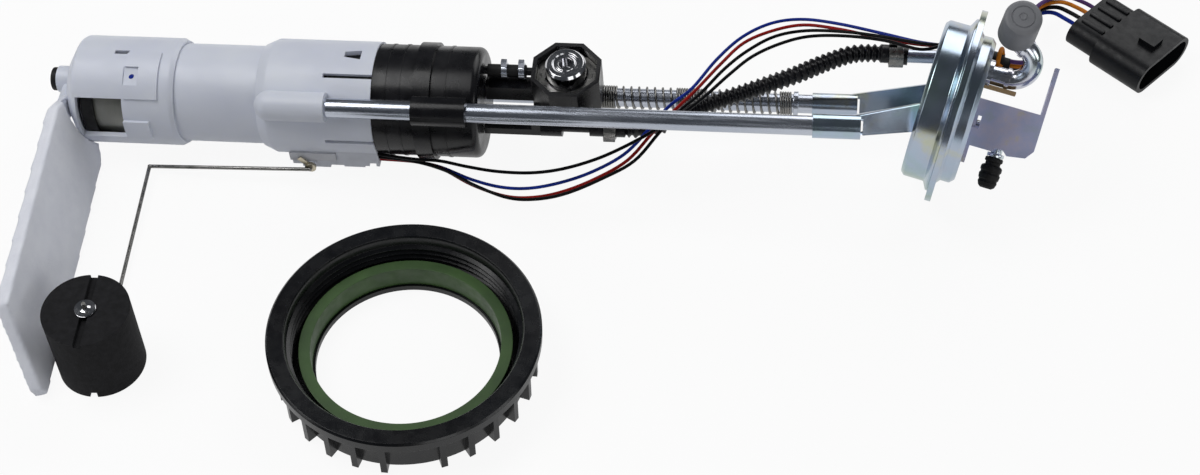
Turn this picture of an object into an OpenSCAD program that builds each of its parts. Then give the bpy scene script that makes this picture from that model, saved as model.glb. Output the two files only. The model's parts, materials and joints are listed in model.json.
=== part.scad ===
// Fuel pump module, lying on its side with its lock ring beside it.
// Lengths are millimetres and angles are degrees.
// The module frame has X along the pump axis, from a datum just outside the inlet cap
// to the tank flange.
// The flange frame sits on the middle of the flange plate, with X pointing out of the tank.

/* [Pump] */
// Outside diameter of the steel pump can
can_d = 38; // [34:0.5:44]
// Length of the steel pump can
can_len = 80; // [74:1:88]
// Wall of the steel pump can
can_wall = 1; // [0.8:0.1:1.6]
// Diameter of the motor shaft
shaft_d = 3; // [2.5:0.1:4]
// Number of slots in the armature
armature_slots = 8; // [6:1:12]
// Number of vanes on the impeller
vane_count = 30; // [20:1:40]

/* [Inlet cap and barrel] */
// Wall of the inlet cap
cap_wall = 2; // [1.6:0.1:3]
// Distance from the datum to the inlet cap's inner end
cap_end = 48.7; // [46:0.1:52]
// Distance from the datum to the end of the inlet cap's bevel
cap_bevel = 8; // [7:0.1:9]
// Thickness of the rubber ring round the pump can
isolator_t = 1.65; // [1.2:0.05:2.4]
// Wall of the barrel
barrel_wall = 1.6; // [1.2:0.1:2.4]
// How far the barrel reaches into the spigot of the filter housing (mm)
barrel_reach = 5; // [3:0.5:8]

/* [Outer sleeve] */
// Distance from the datum to the sleeve
sleeve_x = 86; // [84:0.5:90]
// Length of the sleeve
sleeve_len = 49; // [46:0.5:54]
// Wall of the sleeve
sleeve_wall = 2.25; // [1.8:0.05:3]
// Number of snap slots in the sleeve
slot_count = 5; // [4:1:6]
// Length of a snap slot
slot_len = 20.5; // [14:0.5:26]
// Width of a snap slot
slot_w = 1.9; // [1.2:0.1:3]

/* [Filter housing] */
// Length of the filter housing outside the sleeve
housing_len = 44.2; // [42:0.1:52]
// How far the housing's wall stands proud of the sleeve's bore
housing_lip = 1.45; // [1:0.05:2]
// Wall of the filter housing
housing_wall = 2; // [1.5:0.1:2.4]
// Wall of the spigot inside the sleeve
spigot_wall = 0.9; // [0.7:0.1:1.4]
// Length of the spigot inside the sleeve
spigot_len = 22; // [18:0.5:26]
// Height of the band round the housing
band_h = 1.35; // [0.8:0.05:2]
// Number of pleats in the filter element
pleat_count = 32; // [20:1:44]

/* [Rods and spring] */
// Diameter of the guide rods
rod_d = 8; // [7:0.1:9]
// Wall of the guide rods
rod_wall = 1; // [0.8:0.1:1.5]
// Wall left between the sleeve's bore and a rod's bore
rod_web = 0.5; // [0.4:0.1:1.5]
// Angle of the front rod above the horizontal
rod_clock = 37; // [30:1:44]
// Distance from the datum to the rod ends at the flange
rod_end_x = 320; // [316:0.5:324]
// How far the pump unit can slide along the rods
slide_travel = 23; // [15:1:23]
// Wall of the rod sockets on the sleeve
socket_wall = 2.1; // [1.6:0.1:3]
// Diameter of the spring wire
spring_wire_d = 1; // [0.8:0.1:1.3]

/* [Pressure regulator] */
// Diameter of the regulator's upper can
regulator_d = 17; // [15:0.1:20]
// Height of the regulator's upper can above its clip
regulator_h = 7.4; // [6:0.1:10]
// Outside size of the regulator cup across its corners
cup_d = 31; // [29:0.1:35]
// Wall of the regulator cup
cup_wall = 2; // [1.6:0.1:2.6]
// From the end of the filter housing to the axis of the regulator (mm)
regulator_gap = 34.3; // [32:0.1:37]

/* [Tank flange] */
// Diameter of the flange plate
plate_d = 81.4; // [78:0.1:90]
// Thickness of the flange plate
plate_t = 2.2; // [1.6:0.1:3]
// Diameter of the cup on the tank side
flange_cup_d = 66.6; // [60:0.1:70]
// Depth of the cup on the tank side
flange_cup_h = 14; // [10:0.1:18]
// Diameter of the dome on the outside
dome_d = 62; // [58:0.1:66]
// Height of the dome on the outside
dome_h = 8; // [6:0.1:10]
// Wall of the pressed flange parts
press_t = 1.5; // [1:0.1:2]
// Distance from the datum to the flange plate
flange_x = 375; // [370:0.1:382]
// Sideways offset of the flange from the pump axis
flange_y = 7.6; // [4:0.1:12]
// Angle of the flange to the pump axis, seen from above
flange_yaw = 13.5; // [10:0.5:17]
// Angle of the flange to the pump axis, seen from the side
flange_dip = 6.4; // [4:0.1:9]
// Turn of the flange's fittings about its own axis
flange_roll = 43.4; // [38:0.1:48]

/* [Fuel tube and hoses] */
// Outside diameter of the fuel tube
tube_d = 8; // [7:0.1:9.5]
// Wall of the fuel tube
tube_wall = 1; // [0.8:0.1:1.5]
// Outside diameter of the corrugated hose
hose_d = 8; // [7:0.1:9]
// Outside diameter of the dust cap
dust_cap_d = 15.4; // [14:0.1:18]
// Length of the dust cap
dust_cap_len = 17.5; // [15:0.5:22]
// Outside diameter of the insulated wires
wire_d = 1.7; // [1.4:0.1:2.2]

/* [Level sender] */
// Diameter of the float arm's wire
arm_wire_d = 1.6; // [1.4:0.1:2]
// Distance from the arm's pivot to its corner
arm_len = 70.4; // [60:0.2:74]
// Distance from the arm's corner to the float's centre
arm_reach = 100.5; // [96:0.5:108]
// Diameter of the float
float_d = 34; // [28:0.5:36]
// Height of the float
float_h = 34; // [26:0.5:40]

/* [Strainer] */
// Width of the strainer sock
sock_w = 38; // [30:0.5:40]
// Length of the strainer sock
sock_len = 128; // [110:1:132]
// Thickness of the strainer sock
sock_t = 5.5; // [4:0.1:7]

/* [Lock ring] */
// Diameter of the lock ring's rim
ring_d = 107.2; // [104:0.1:118]
// Height of the lock ring
ring_h = 22; // [19:0.1:26]
// Diameter over the lock ring's skirt
skirt_d = 97; // [96:0.1:100]
// Smallest diameter of the lock ring's thread
thread_d = 89; // [86:0.1:91]
// Diameter of the hole through the lock ring
ring_hole_d = 72.6; // [68:0.1:75]
// Number of places for lugs round the skirt
lug_places = 28; // [20:4:36]

/* [Hidden] */
$fn = 64;
// Clearance between fixed pieces that slip together
fit = 0.1;
// Clearance between pieces that slide or turn in each other
run = 0.1;
// Overlap of cutting shapes past a surface
over = 1;

// Diameters that follow from the pump can outwards
barrel_id = can_d + 2 * fit;
barrel_d = barrel_id + 2 * barrel_wall;
cap_bore = max(can_d + 2 * isolator_t, barrel_d) + 2 * fit;
cap_d = cap_bore + 2 * cap_wall;
spigot_id = barrel_d + 2 * fit;
spigot_d = spigot_id + 2 * spigot_wall;
sleeve_bore = spigot_d + 2 * fit;
sleeve_d = sleeve_bore + 2 * sleeve_wall;
housing_d = sleeve_bore + 2 * housing_lip;
band_d = housing_d + 2 * band_h;
rod_bore = rod_d + 2 * run;
rod_offset = sleeve_bore / 2 + rod_web + rod_bore / 2;

// Places along the pump axis
cap_x = 3;
can_x = 12;
sleeve_end = sleeve_x + sleeve_len;
housing_end = sleeve_end + housing_len;
barrel_end = sleeve_end - spigot_len + barrel_reach;
regulator_x = housing_end + regulator_gap;
socket_d = rod_bore + 2 * socket_wall;
socket_x = sleeve_x + 1;
socket_end = sleeve_end - 18;
rod_tip_x = socket_x + 2.5 + slide_travel;
spring_x = regulator_x + 10.5;
spring_len = rod_end_x - 12 - spring_x;

// How the module lies: the bevelled cap and the flange plate both touch the floor
lie_tilt = asin((plate_d - cap_d) / 2 / (flange_x - cap_bevel));
lie_z = cap_d / 2 * cos(lie_tilt) - cap_bevel * sin(lie_tilt);
// Middle of the footprint, measured from the datum
mid_x = 202.66;
mid_y = -58.89;

// Puts the module frame on the floor
module lie() {
    translate([-mid_x, -mid_y, lie_z]) rotate([0, -lie_tilt, 0]) children();
}

// Puts the flange frame into the module frame
module at_flange() {
    translate([flange_x, flange_y, 0]) rotate([flange_roll, flange_dip, -flange_yaw]) children();
}

// Points local Y away from the pump axis at a clock angle above the front
module clock(angle) {
    rotate([-angle, 0, 0]) mirror([0, 1, 0]) children();
}

// Round bar along X
module xrod(x0, x1, d) {
    translate([x0, 0, 0]) rotate([0, 90, 0]) cylinder(h = x1 - x0, d = d);
}

// Round tube along X
module xtube(x0, x1, d_out, d_in) {
    difference() {
        xrod(x0, x1, d_out);
        xrod(x0 - over, x1 + over, d_in);
    }
}

// Turns a profile of [x, radius] points round the X axis
module xturn(points) {
    rotate([90, 0, 90]) rotate_extrude() rotate([0, 0, 90]) mirror([0, 1, 0]) polygon(points);
}

// Wedge that covers the clock angles from a0 to a1 between two stations, out to a radius
module sector(x0, x1, a0, a1, r) {
    steps = 8;
    arc = [for (i = [0:steps]) a0 + (a1 - a0) * i / steps];
    translate([x0, 0, 0]) rotate([90, 0, 90]) linear_extrude(x1 - x0)
        polygon(concat([[0, 0]], [for (a = arc) [-r * cos(a), r * sin(a)] * 1.2]));
}

// Curve through hand-picked points, with n steps between neighbours
function blend_point(a, b, c, d, t) =
    0.5 * ((2 * b) + (c - a) * t + (2 * a - 5 * b + 4 * c - d) * t * t
    + (3 * b - a - 3 * c + d) * t * t * t);
function curve(p, n) = concat(
    [for (i = [0:len(p) - 2]) for (k = [0:n - 1])
        blend_point(p[max(i - 1, 0)], p[i], p[i + 1], p[min(i + 2, len(p) - 1)], k / n)],
    [p[len(p) - 1]]);
function unit(v) = v / norm(v);
function tangent(p, i) = unit(p[min(i + 1, len(p) - 1)] - p[max(i - 1, 0)]);
function side_of(t) = unit(cross(t, [0.11, 0.17, 0.98]));

// Round cord swept along a route
module cord(route, d, sides, steps) {
    p = curve(route, steps);
    rings = [for (i = [0:len(p) - 1])
        let (t = tangent(p, i), u = side_of(t), w = cross(t, u))
        for (k = [0:sides - 1])
            p[i] + d / 2 * (cos(360 * k / sides) * u + sin(360 * k / sides) * w)];
    last = (len(p) - 1) * sides;
    polyhedron(
        points = rings,
        faces = concat(
            [[for (k = [0:sides - 1]) k]],
            [for (i = [0:len(p) - 2]) for (k = [0:sides - 1])
                [i * sides + k, (i + 1) * sides + k,
                    (i + 1) * sides + (k + 1) % sides, i * sides + (k + 1) % sides]],
            [[for (k = [sides - 1:-1:0]) last + k]]));
}

// Routes of the free wires and the hose, in the module frame
hose_route = [
    [240, -7.5, -4.4], [246, -7.5, -4.4], [254, -5, -4], [263, 0, -2], [275, 4, 1],
    [287, 8, 3], [298, 12, 5], [309, 17, 6], [320, 24, 6], [332, 30, 6], [344, 32, 5],
    [355, 31, 5]
];
blue_route = [
    [367, 26, 17], [358, 28, 16.5], [343, 35, 14], [325, 44, 10], [310, 49, 7], [297, 47, 6],
    [285, 38, 6], [275, 23, 7], [266, 5, 8], [257, -6, 8], [249, -13, 1], [239, -18, -9],
    [226, -23, -15], [213, -28, -17], [200, -31, -18], [188, -31, -18], [175, -27, -18.5],
    [161, -20, -19.5], [150, -17.5, -19.5], [135.1, -17.5, -18.6]
];
red_route = [
    [367, 23, 19.5], [357, 24, 19], [341, 30, 16.5], [326, 38, 12.5], [311, 43, 9.5],
    [298, 40, 8.5], [286, 32, 8.5], [277, 18, 9.5], [268, 2, 10.5], [259, -11, 10],
    [251, -17, 3.5], [241, -24, -6], [228, -29, -12.5], [215, -35, -14.5], [203, -38, -15.5],
    [191, -38, -15.5], [176, -32, -16], [162, -23, -17], [150, -19.5, -17.2], [135.1, -19.4, -16.4]
];
black_route = [
    [367, 21, 22], [359, 22, 21.5], [342, 28, 19], [328, 34, 15], [312, 37, 12], [299, 34, 11],
    [288, 25, 11], [279, 13, 12], [270, -2, 12.5], [262, -13, 13], [254, -19, 6],
    [244, -26, -4], [231, -31, -10], [217, -38, -12], [205, -41, -13], [193, -41, -13],
    [179, -35, -13.5], [164, -26, -14.5], [150, -21.4, -14.8], [135.1, -20.4, -14]
];
ground_route = [
    [366, 17, 25], [358, 16, 24], [344, 23, 21.5], [328, 29, 17.5], [313, 31, 14.5],
    [301, 27, 13.5], [290, 19, 13.5], [281, 7, 14.5], [272, -6, 15], [264, -15, 14.5],
    [254, -19, 9], [241, -21, 0], [228, -24, -6], [214, -28, -8.5], [201, -29, -10.5],
    [187, -29, -10.5], [174, -27, -10.5], [162, -24, -11], [150, -22.6, -12], [135.1, -21, -11.6]
];

// White cap with the pump's inlet, a window on the rubber ring and the steel can
module inlet_cap() {
    lip = 2.1;
    rim_r = cap_d / 2;
    color("white") lie() difference() {
        union() {
            difference() {
                xturn([
                    [cap_x, 0], [cap_x, rim_r - 7], [cap_bevel - 1.2, rim_r - 0.7],
                    [cap_bevel, rim_r], [cap_end, rim_r], [cap_end + lip, barrel_d / 2 + fit + 0.9],
                    [cap_end + lip, 0]
                ]);
                xturn([
                    [cap_x + cap_wall, 0], [cap_x + cap_wall, rim_r - 8.4],
                    [cap_bevel + 1, cap_bore / 2 - 0.6], [cap_bevel + 2, cap_bore / 2],
                    [cap_end, cap_bore / 2], [cap_end, barrel_d / 2 + fit],
                    [cap_end + lip + over, barrel_d / 2 + fit], [cap_end + lip + over, 0]
                ]);
            }
            // Raised pad beside the inspection recess
            intersection() {
                xtube(30, 44.5, cap_d + 1.6, cap_bore + 1);
                sector(29, 46, 37, 90, cap_d);
            }
            // Small catch below the pad
            intersection() {
                xtube(28.6, 40, cap_d + 2.6, cap_bore + 1);
                sector(28, 41, -11, 12, cap_d);
            }
        }
        // Window on the can
        intersection() {
            xtube(9, 29, cap_d + 8, cap_d - 2 * cap_wall - 6);
            sector(8, 30, -14, 36.5, cap_d);
        }
        // Slot and inspection recess
        clock(90) translate([24, cap_bore / 2 - over, -1]) cube([6.5, 6, 2]);
        clock(61) translate([29.5, cap_d / 2 - 0.6, -4]) cube([6.5, 4, 8]);
        // Holes for the pump inlet and the small valve
        translate([0, inlet_y, inlet_z]) xrod(cap_x - over, cap_x + cap_wall + over, inlet_d + 2 * fit);
        translate([0, valve_y, valve_z]) xrod(cap_x - over, cap_x + cap_wall + over, 3 + fit);
    }
}

// Place and size of the pump's inlet
inlet_d = 9;
inlet_y = 1.5;
inlet_z = 3.6;
neck_end = cap_x - 8.4;

// Place of the small valve on the cap's face
valve_y = 9.1;
valve_z = 8.1;

// Black rubber valve pushed through the cap's face
module cap_valve() {
    color("black") lie() translate([0, valve_y, valve_z]) {
        xrod(cap_x - 2.6, cap_x, 5);
        xrod(cap_x - 1, cap_x + cap_wall + 0.6, 3);
        xrod(cap_x + cap_wall, cap_x + cap_wall + 1.4, 4);
    }
}

// White barrel round the pump can
module pump_barrel() {
    color("white") lie() xtube(31, barrel_end, barrel_d, barrel_id);
}

// Closed socket for a guide rod on the sleeve
module rod_socket(angle) {
    clock(angle) translate([0, rod_offset, 0]) {
        xrod(socket_x + socket_d / 2, socket_end, socket_d);
        translate([socket_x + socket_d / 2, 0, 0]) sphere(d = socket_d);
    }
}

// White sleeve with snap slots and rod sockets
module outer_sleeve() {
    web = 2.5;
    color("white") lie() difference() {
        union() {
            xturn([
                [sleeve_x, 0], [sleeve_x, barrel_d / 2 + 1], [sleeve_x + 5.2, sleeve_d / 2],
                [sleeve_end, sleeve_d / 2], [sleeve_end, 0]
            ]);
            rod_socket(rod_clock);
            rod_socket(rod_clock + 180);
        }
        xrod(sleeve_x - 8, sleeve_end + over, barrel_d + 2 * fit);
        xrod(sleeve_x + web + 3, sleeve_end + over, sleeve_bore);
        for (angle = [rod_clock, rod_clock + 180])
            clock(angle) translate([0, rod_offset, 0])
                xrod(socket_x + 1.6, sleeve_end + over, rod_bore);
        for (i = [0:slot_count - 1])
            clock(68 + 360 / slot_count * i)
                translate([sleeve_end - slot_len, sleeve_bore / 2 - over, -slot_w / 2])
                    cube([slot_len + over, sleeve_wall + 3, slot_w]);
        // Window for the snap tooth of the housing
        clock(95) translate([sleeve_end - 13, sleeve_bore / 2 - over, 0]) rotate([90, 0, 0])
            mirror([0, 0, 1]) linear_extrude(sleeve_wall + 3)
                polygon([[0, -1.6], [7, -2.8], [7, 2.8], [0, 1.6]]);
    }
}

// Guide for a rod on the filter housing
module rod_guide(angle) {
    clock(angle) translate([0, rod_offset, 0])
        xrod(sleeve_end + 18.2, housing_end - 3.6, rod_bore + 4);
}

// Places of the outlet stub on the housing's end
outlet_y = 8;
outlet_z = 11.4;
outlet_d = 3.4;

// Black filter housing with its band, rod guides and outlet stub
module filter_housing() {
    band_x = sleeve_end + 17.4;
    band_w = 7;
    round_r = 3;
    bend = [housing_end - round_r, housing_d / 2 - round_r];
    arc = [for (a = [0:15:90]) bend + round_r * [sin(a), cos(a)]];
    color("dimgray") lie() difference() {
        union() {
            xturn(concat(
                [[sleeve_end - spigot_len, 0], [sleeve_end - spigot_len, spigot_d / 2],
                    [sleeve_end, spigot_d / 2], [sleeve_end, housing_d / 2]],
                arc, [[housing_end, 0]]));
            xrod(band_x, band_x + band_w, band_d);
            for (x = [5, 11, 30])
                xrod(sleeve_end + x, sleeve_end + x + 0.9, housing_d + 0.5);
            rod_guide(rod_clock);
            rod_guide(rod_clock + 180);
            translate([0, outlet_y, outlet_z]) xrod(housing_end - 3, housing_end + 9, outlet_d);
        }
        xrod(sleeve_end - spigot_len - over, sleeve_end, spigot_id);
        xrod(sleeve_end - over, housing_end - 2.2, housing_d - 2 * housing_wall);
        for (angle = [rod_clock, rod_clock + 180])
            clock(angle) translate([0, rod_offset, 0]) xrod(sleeve_end - 4, housing_end + over, rod_bore);
        translate([0, outlet_y, outlet_z]) xrod(housing_end - 5, housing_end + 10, outlet_d - 1.6);
    }
}

// Pleated paper element with a plain end disc at each side
module filter_element() {
    outer = housing_d / 2 - housing_wall - 1.5;
    inner = 11;
    x0 = barrel_end + 3.5;
    x1 = housing_end - 2.2;
    color("khaki") lie() difference() {
        union() {
            translate([x0, 0, 0]) rotate([90, 0, 90]) linear_extrude(x1 - x0) polygon([
                for (i = [0:2 * pleat_count - 1])
                    (i % 2 == 0 ? outer : inner) * [cos(180 * i / pleat_count), sin(180 * i / pleat_count)]
            ]);
            xrod(x0, x0 + 1.5, 2 * outer);
            xrod(x1 - 1.5, x1, 2 * outer);
        }
        xrod(x0 - over, x1 - 1.5, 2 * (inner - 1.2));
    }
}

// Rubber ring between the pump can and the inlet cap
module isolator_ring() {
    color("black") lie() xtube(10.3, 15.5, can_d + 2 * isolator_t, can_d + 2 * fit);
}

// Steel can of the pump
module pump_can() {
    color("darkkhaki") lie() xtube(can_x, can_x + can_len, can_d, can_d - 2 * can_wall);
}

can_in = can_d - 2 * can_wall - 2 * fit;
impeller_x = can_x + 6.5;
impeller_w = 3.4;
plate_x = impeller_x + impeller_w + 0.3;

// Inlet cover of the pump, with the inlet tube through the cap
module inlet_cover() {
    color("dimgray") lie() difference() {
        union() {
            xrod(can_x, impeller_x - 0.3, can_in);
            translate([0, inlet_y, inlet_z]) xrod(neck_end + 1.4, can_x + 1, inlet_d);
        }
        translate([0, inlet_y, inlet_z]) xrod(neck_end, impeller_x, inlet_d - 3);
        xrod(can_x + 2.5, impeller_x + over, shaft_d + 2 * run);
    }
}

// Vaned wheel that moves the fuel
module impeller() {
    wheel_d = can_in - 5;
    color("black") lie() difference() {
        xrod(impeller_x, impeller_x + impeller_w, wheel_d);
        xrod(impeller_x - over, impeller_x + impeller_w + over, shaft_d + 2 * fit);
        for (i = [0:vane_count - 1])
            rotate([360 / vane_count * i, 0, 0])
                translate([impeller_x - over, wheel_d / 2 - 2.6, -0.7])
                    cube([impeller_w + 2 * over, 4, 1.4]);
    }
}

// Plate between the impeller and the motor
module pump_plate() {
    color("silver") lie() difference() {
        xrod(plate_x, plate_x + 4, can_in);
        xrod(plate_x - over, plate_x + 5, shaft_d + 2 * run);
        translate([0, 0, -11]) xrod(plate_x - over, plate_x + 5, 4);
    }
}

magnet_x = plate_x + 8;
magnet_len = can_len - 46;
armature_d = can_in - 9;

// Two curved magnets inside the can
module magnets() {
    color("gray") lie() for (a = [0, 180])
        intersection() {
            xtube(magnet_x, magnet_x + magnet_len, can_in, can_in - 7);
            sector(magnet_x - over, magnet_x + magnet_len + over, a + 28, a + 152, can_d);
        }
}

// Motor shaft with the slotted core and the commutator
module armature() {
    core_x = magnet_x + 1;
    color("peru") lie() {
        xrod(can_x + 3, can_x + can_len - 8, shaft_d);
        difference() {
            xrod(core_x, core_x + magnet_len - 2, armature_d);
            for (i = [0:armature_slots - 1])
                rotate([360 / armature_slots * i, 0, 0])
                    translate([core_x - over, armature_d / 2 - 4, -0.9]) cube([magnet_len, 6, 1.8]);
        }
        xrod(core_x + magnet_len + 3, core_x + magnet_len + 12, 12);
    }
}

outlet_cover_x = can_x + can_len - 14;

// Outlet cover with the brush holders and the outlet tube
module outlet_cover() {
    color("dimgray") lie() difference() {
        union() {
            xrod(outlet_cover_x + 4, can_x + can_len - 1, can_in);
            xrod(can_x + can_len - 2, barrel_end + 3, 9);
            for (s = [-1, 1])
                translate([outlet_cover_x - 4, s > 0 ? 8.2 : -13.2, -3.5]) cube([9, 5, 7]);
        }
        xrod(outlet_cover_x + 3, can_x + can_len - 6, shaft_d + 2 * run);
        xrod(can_x + can_len - 4, barrel_end + 4, 3.4);
        xrod(can_x + can_len + 11.5, barrel_end + 4, 5.4);
        for (s = [-1, 1])
            translate([outlet_cover_x - 3.1, s > 0 ? 7 : -14, -2.1]) cube([5.2, 7, 4.2]);
    }
}

// Two carbon brushes on the commutator
module brushes() {
    color("black") lie() for (s = [-1, 1])
        translate([outlet_cover_x - 3, s > 0 ? 6.3 : -13.1, -2]) cube([5, 6.8, 4]);
}

// Plunger in the outlet tube that holds the line pressure
module check_valve() {
    color("white") lie() {
        xrod(can_x + can_len + 4, can_x + can_len + 12, 2.4);
        xturn([
            [can_x + can_len + 10, 0], [can_x + can_len + 12.5, 2.5],
            [can_x + can_len + 14.5, 2.5], [can_x + can_len + 14.5, 0]
        ]);
    }
}

// White plastic neck that pushes onto the inlet tube and carries the sock
module strainer_neck() {
    color("white") lie() difference() {
        union() {
            translate([0, inlet_y, inlet_z]) xrod(neck_end, cap_x, inlet_d + 2.4);
            translate([cap_x - 3.2, inlet_y - 14, inlet_z]) rotate([-90, 0, 0]) cylinder(h = 13, d = 5.2);
        }
        translate([0, inlet_y, inlet_z]) xrod(neck_end - over, cap_x + over, inlet_d + 2 * fit);
        translate([cap_x - 3.2, inlet_y - 15, inlet_z]) rotate([-90, 0, 0]) cylinder(h = 14, d = 3);
    }
}

// Black plug in the open end of the neck
module neck_plug() {
    color("black") lie() translate([0, inlet_y, inlet_z]) {
        xrod(neck_end - 2.6, neck_end, inlet_d + 1);
        xrod(neck_end - 1, neck_end + 1.2, inlet_d);
    }
}

// Outline of the sock, seen along the pump axis: Y runs to the front, Z up
module sock_outline() {
    polygon([
        [0, 3], [8, -sock_w / 2 + 5], [14, -sock_w / 2], [sock_len + 8, -sock_w / 2],
        [sock_len + 9, -sock_w / 2 + 5], [sock_len - 9, sock_w / 2], [16, sock_w / 2], [4, 13], [0, 11]
    ]);
}

// Felt strainer, standing on its long edge on the floor
module strainer_sock() {
    color("whitesmoke") difference() {
        translate([-mid_x, -mid_y, 0]) translate([5.2, -9.4, sock_w / 2]) rotate([0, 0, 5])
            rotate([0, -17, 0]) rotate([90, 0, -90])
                linear_extrude(sock_t, center = true) sock_outline();
        lie() xrod(cap_x - 0.2, 60, cap_d + 0.4);
    }
}

// Sender body on the front of the sleeve, with a pocket for the wiper
sender_x = sleeve_end - 37.4;
sender_w = 37.4;
sender_y = 2.55 - sleeve_d / 2;
sender_low = 3.55 - sleeve_d / 2;
pivot_x = sender_x + 7.9;
pivot_z = 5.55 - sleeve_d / 2;
module sender_base() {
    color("gray") lie() difference() {
        union() {
            translate([sender_x, sender_y, sender_low + 1.6]) cube([sender_w, 11, 14]);
            translate([pivot_x, sender_y + 5, pivot_z]) rotate([90, 0, 0]) cylinder(h = 6.4, d = 4.8);
            translate([sender_x + 4, sender_y, sender_low]) cube([12, 8, 3]);
            translate([sender_x + 22, sender_y, sender_low + 0.8]) cube([9, 8, 2]);
        }
        xrod(sender_x - over, sender_x + sender_w + over, sleeve_d);
        translate([pivot_x, sender_y + 8, pivot_z]) rotate([90, 0, 0])
            cylinder(h = 12, d = arm_wire_d + 2 * run);
        translate([sender_x + 33, sender_y - over, sender_low]) cube([3, 4, 3.4]);
    }
}

// Ceramic card with the resistor track, on the sleeve side of the sender body
module sender_card() {
    color("ivory") lie() translate([pivot_x - 8.5, sender_y - 0.8, pivot_z + 2.6])
        cube([20, 0.8, 4.4]);
}

// Contact arm that turns with the float arm
module wiper() {
    color("gold") lie() translate([pivot_x, sender_y - 1.45, pivot_z]) rotate([90, 0, 0]) difference() {
        union() {
            cylinder(h = 1.2, d = 4.8);
            rotate([0, 0, 130]) translate([0, -1.1, 0]) cube([6.6, 2.2, 0.5]);
        }
        translate([0, 0, -over]) cylinder(h = 4, d = arm_wire_d + 2 * fit);
    }
}

// Wire arm from the sender's pivot to the float: the corner and the float's foot are given
// as heights above the floor
corner_z = 3.4;
foot_z = 1.5;
arm_turn = 3.3;
arm_y = sender_y - 3.5;
pivot_px = pivot_x * cos(lie_tilt) - pivot_z * sin(lie_tilt);
pivot_pz = lie_z + pivot_x * sin(lie_tilt) + pivot_z * cos(lie_tilt);
module float_arm() {
    d = arm_wire_d;
    arm_slope = atan((pivot_pz - corner_z) / arm_len);
    leg_slope = atan((corner_z - foot_z) / arm_reach);
    color("silver") translate([pivot_px - mid_x, arm_y - mid_y, pivot_pz]) {
        rotate([-90, 0, 0]) cylinder(h = 8.5, d = d);
        sphere(d = d + 0.1);
        rotate([0, -arm_slope, 0]) xrod(-arm_len / cos(arm_slope), 0, d);
        translate([-arm_len, 0, corner_z - pivot_pz]) rotate([0, 0, arm_turn]) {
            sphere(d = d + 0.1);
            rotate([90 + leg_slope, 0, 0]) cylinder(h = arm_reach / cos(leg_slope), d = d);
            translate([0, -arm_reach, foot_z - corner_z]) {
                sphere(d = d + 0.1);
                cylinder(h = float_h + 2.6, d = d);
            }
        }
    }
}

// Place of the float's axis
module at_float() {
    translate([pivot_px - mid_x - arm_len, arm_y - mid_y, 0])
        rotate([0, 0, arm_turn]) translate([0, -arm_reach, 0]) children();
}

// Foam float with a groove across each end for the wire
module float() {
    groove = arm_wire_d + 1.4;
    bottom_groove = foot_z + arm_wire_d / 2 + 0.6;
    color("black") at_float() difference() {
        translate([0, 0, 0.1]) cylinder(h = float_h, d = float_d);
        cylinder(h = float_h + 2, d = arm_wire_d + 2 * fit);
        translate([-groove / 2, -float_d, -over]) cube([groove, 2 * float_d, over + bottom_groove]);
        translate([-groove / 2, -float_d, float_h - 1.6]) cube([groove, 2 * float_d, 3]);
    }
}

// Push-on nut that holds the float on its wire
module float_nut() {
    color("silver") at_float() translate([0, 0, float_h - 1.5]) difference() {
        union() {
            cylinder(h = 1.2, d = 2.9);
            translate([0, 0, 1.9]) cylinder(h = 0.8, d = 8);
            cylinder(h = 2.4, d = 2.7);
        }
        translate([0, 0, -over]) cylinder(h = 5, d = arm_wire_d + 2 * fit);
    }
}

// Short hose from the filter housing to the regulator holder
module outlet_hose() {
    color("black") lie() translate([0, outlet_y, outlet_z])
        xtube(housing_end + 1, regulator_x - 17, 5.4, outlet_d + 2 * fit);
}

// Ear clamps on the short hose
module outlet_clamp() {
    color("silver") lie() translate([0, outlet_y, outlet_z]) for (x = [housing_end + 7, regulator_x - 20]) {
        xtube(x, x + 2.4, 6.6, 5.6);
        translate([x, -1.2, 3.1]) cube([2.4, 2.4, 2.6]);
    }
}

cup_y = 8;
cup_floor = 0;
cup_top = 14.8;
reg_lean = 5;
nipple_y = -7.5;
nipple_z = -4.4;
nipple_d = 5;
cuff_x = 224;

// Axis of the regulator, leaning a little to the front
module at_regulator() {
    translate([regulator_x, cup_y, 0]) rotate([reg_lean, 0, 0]) children();
}

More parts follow.
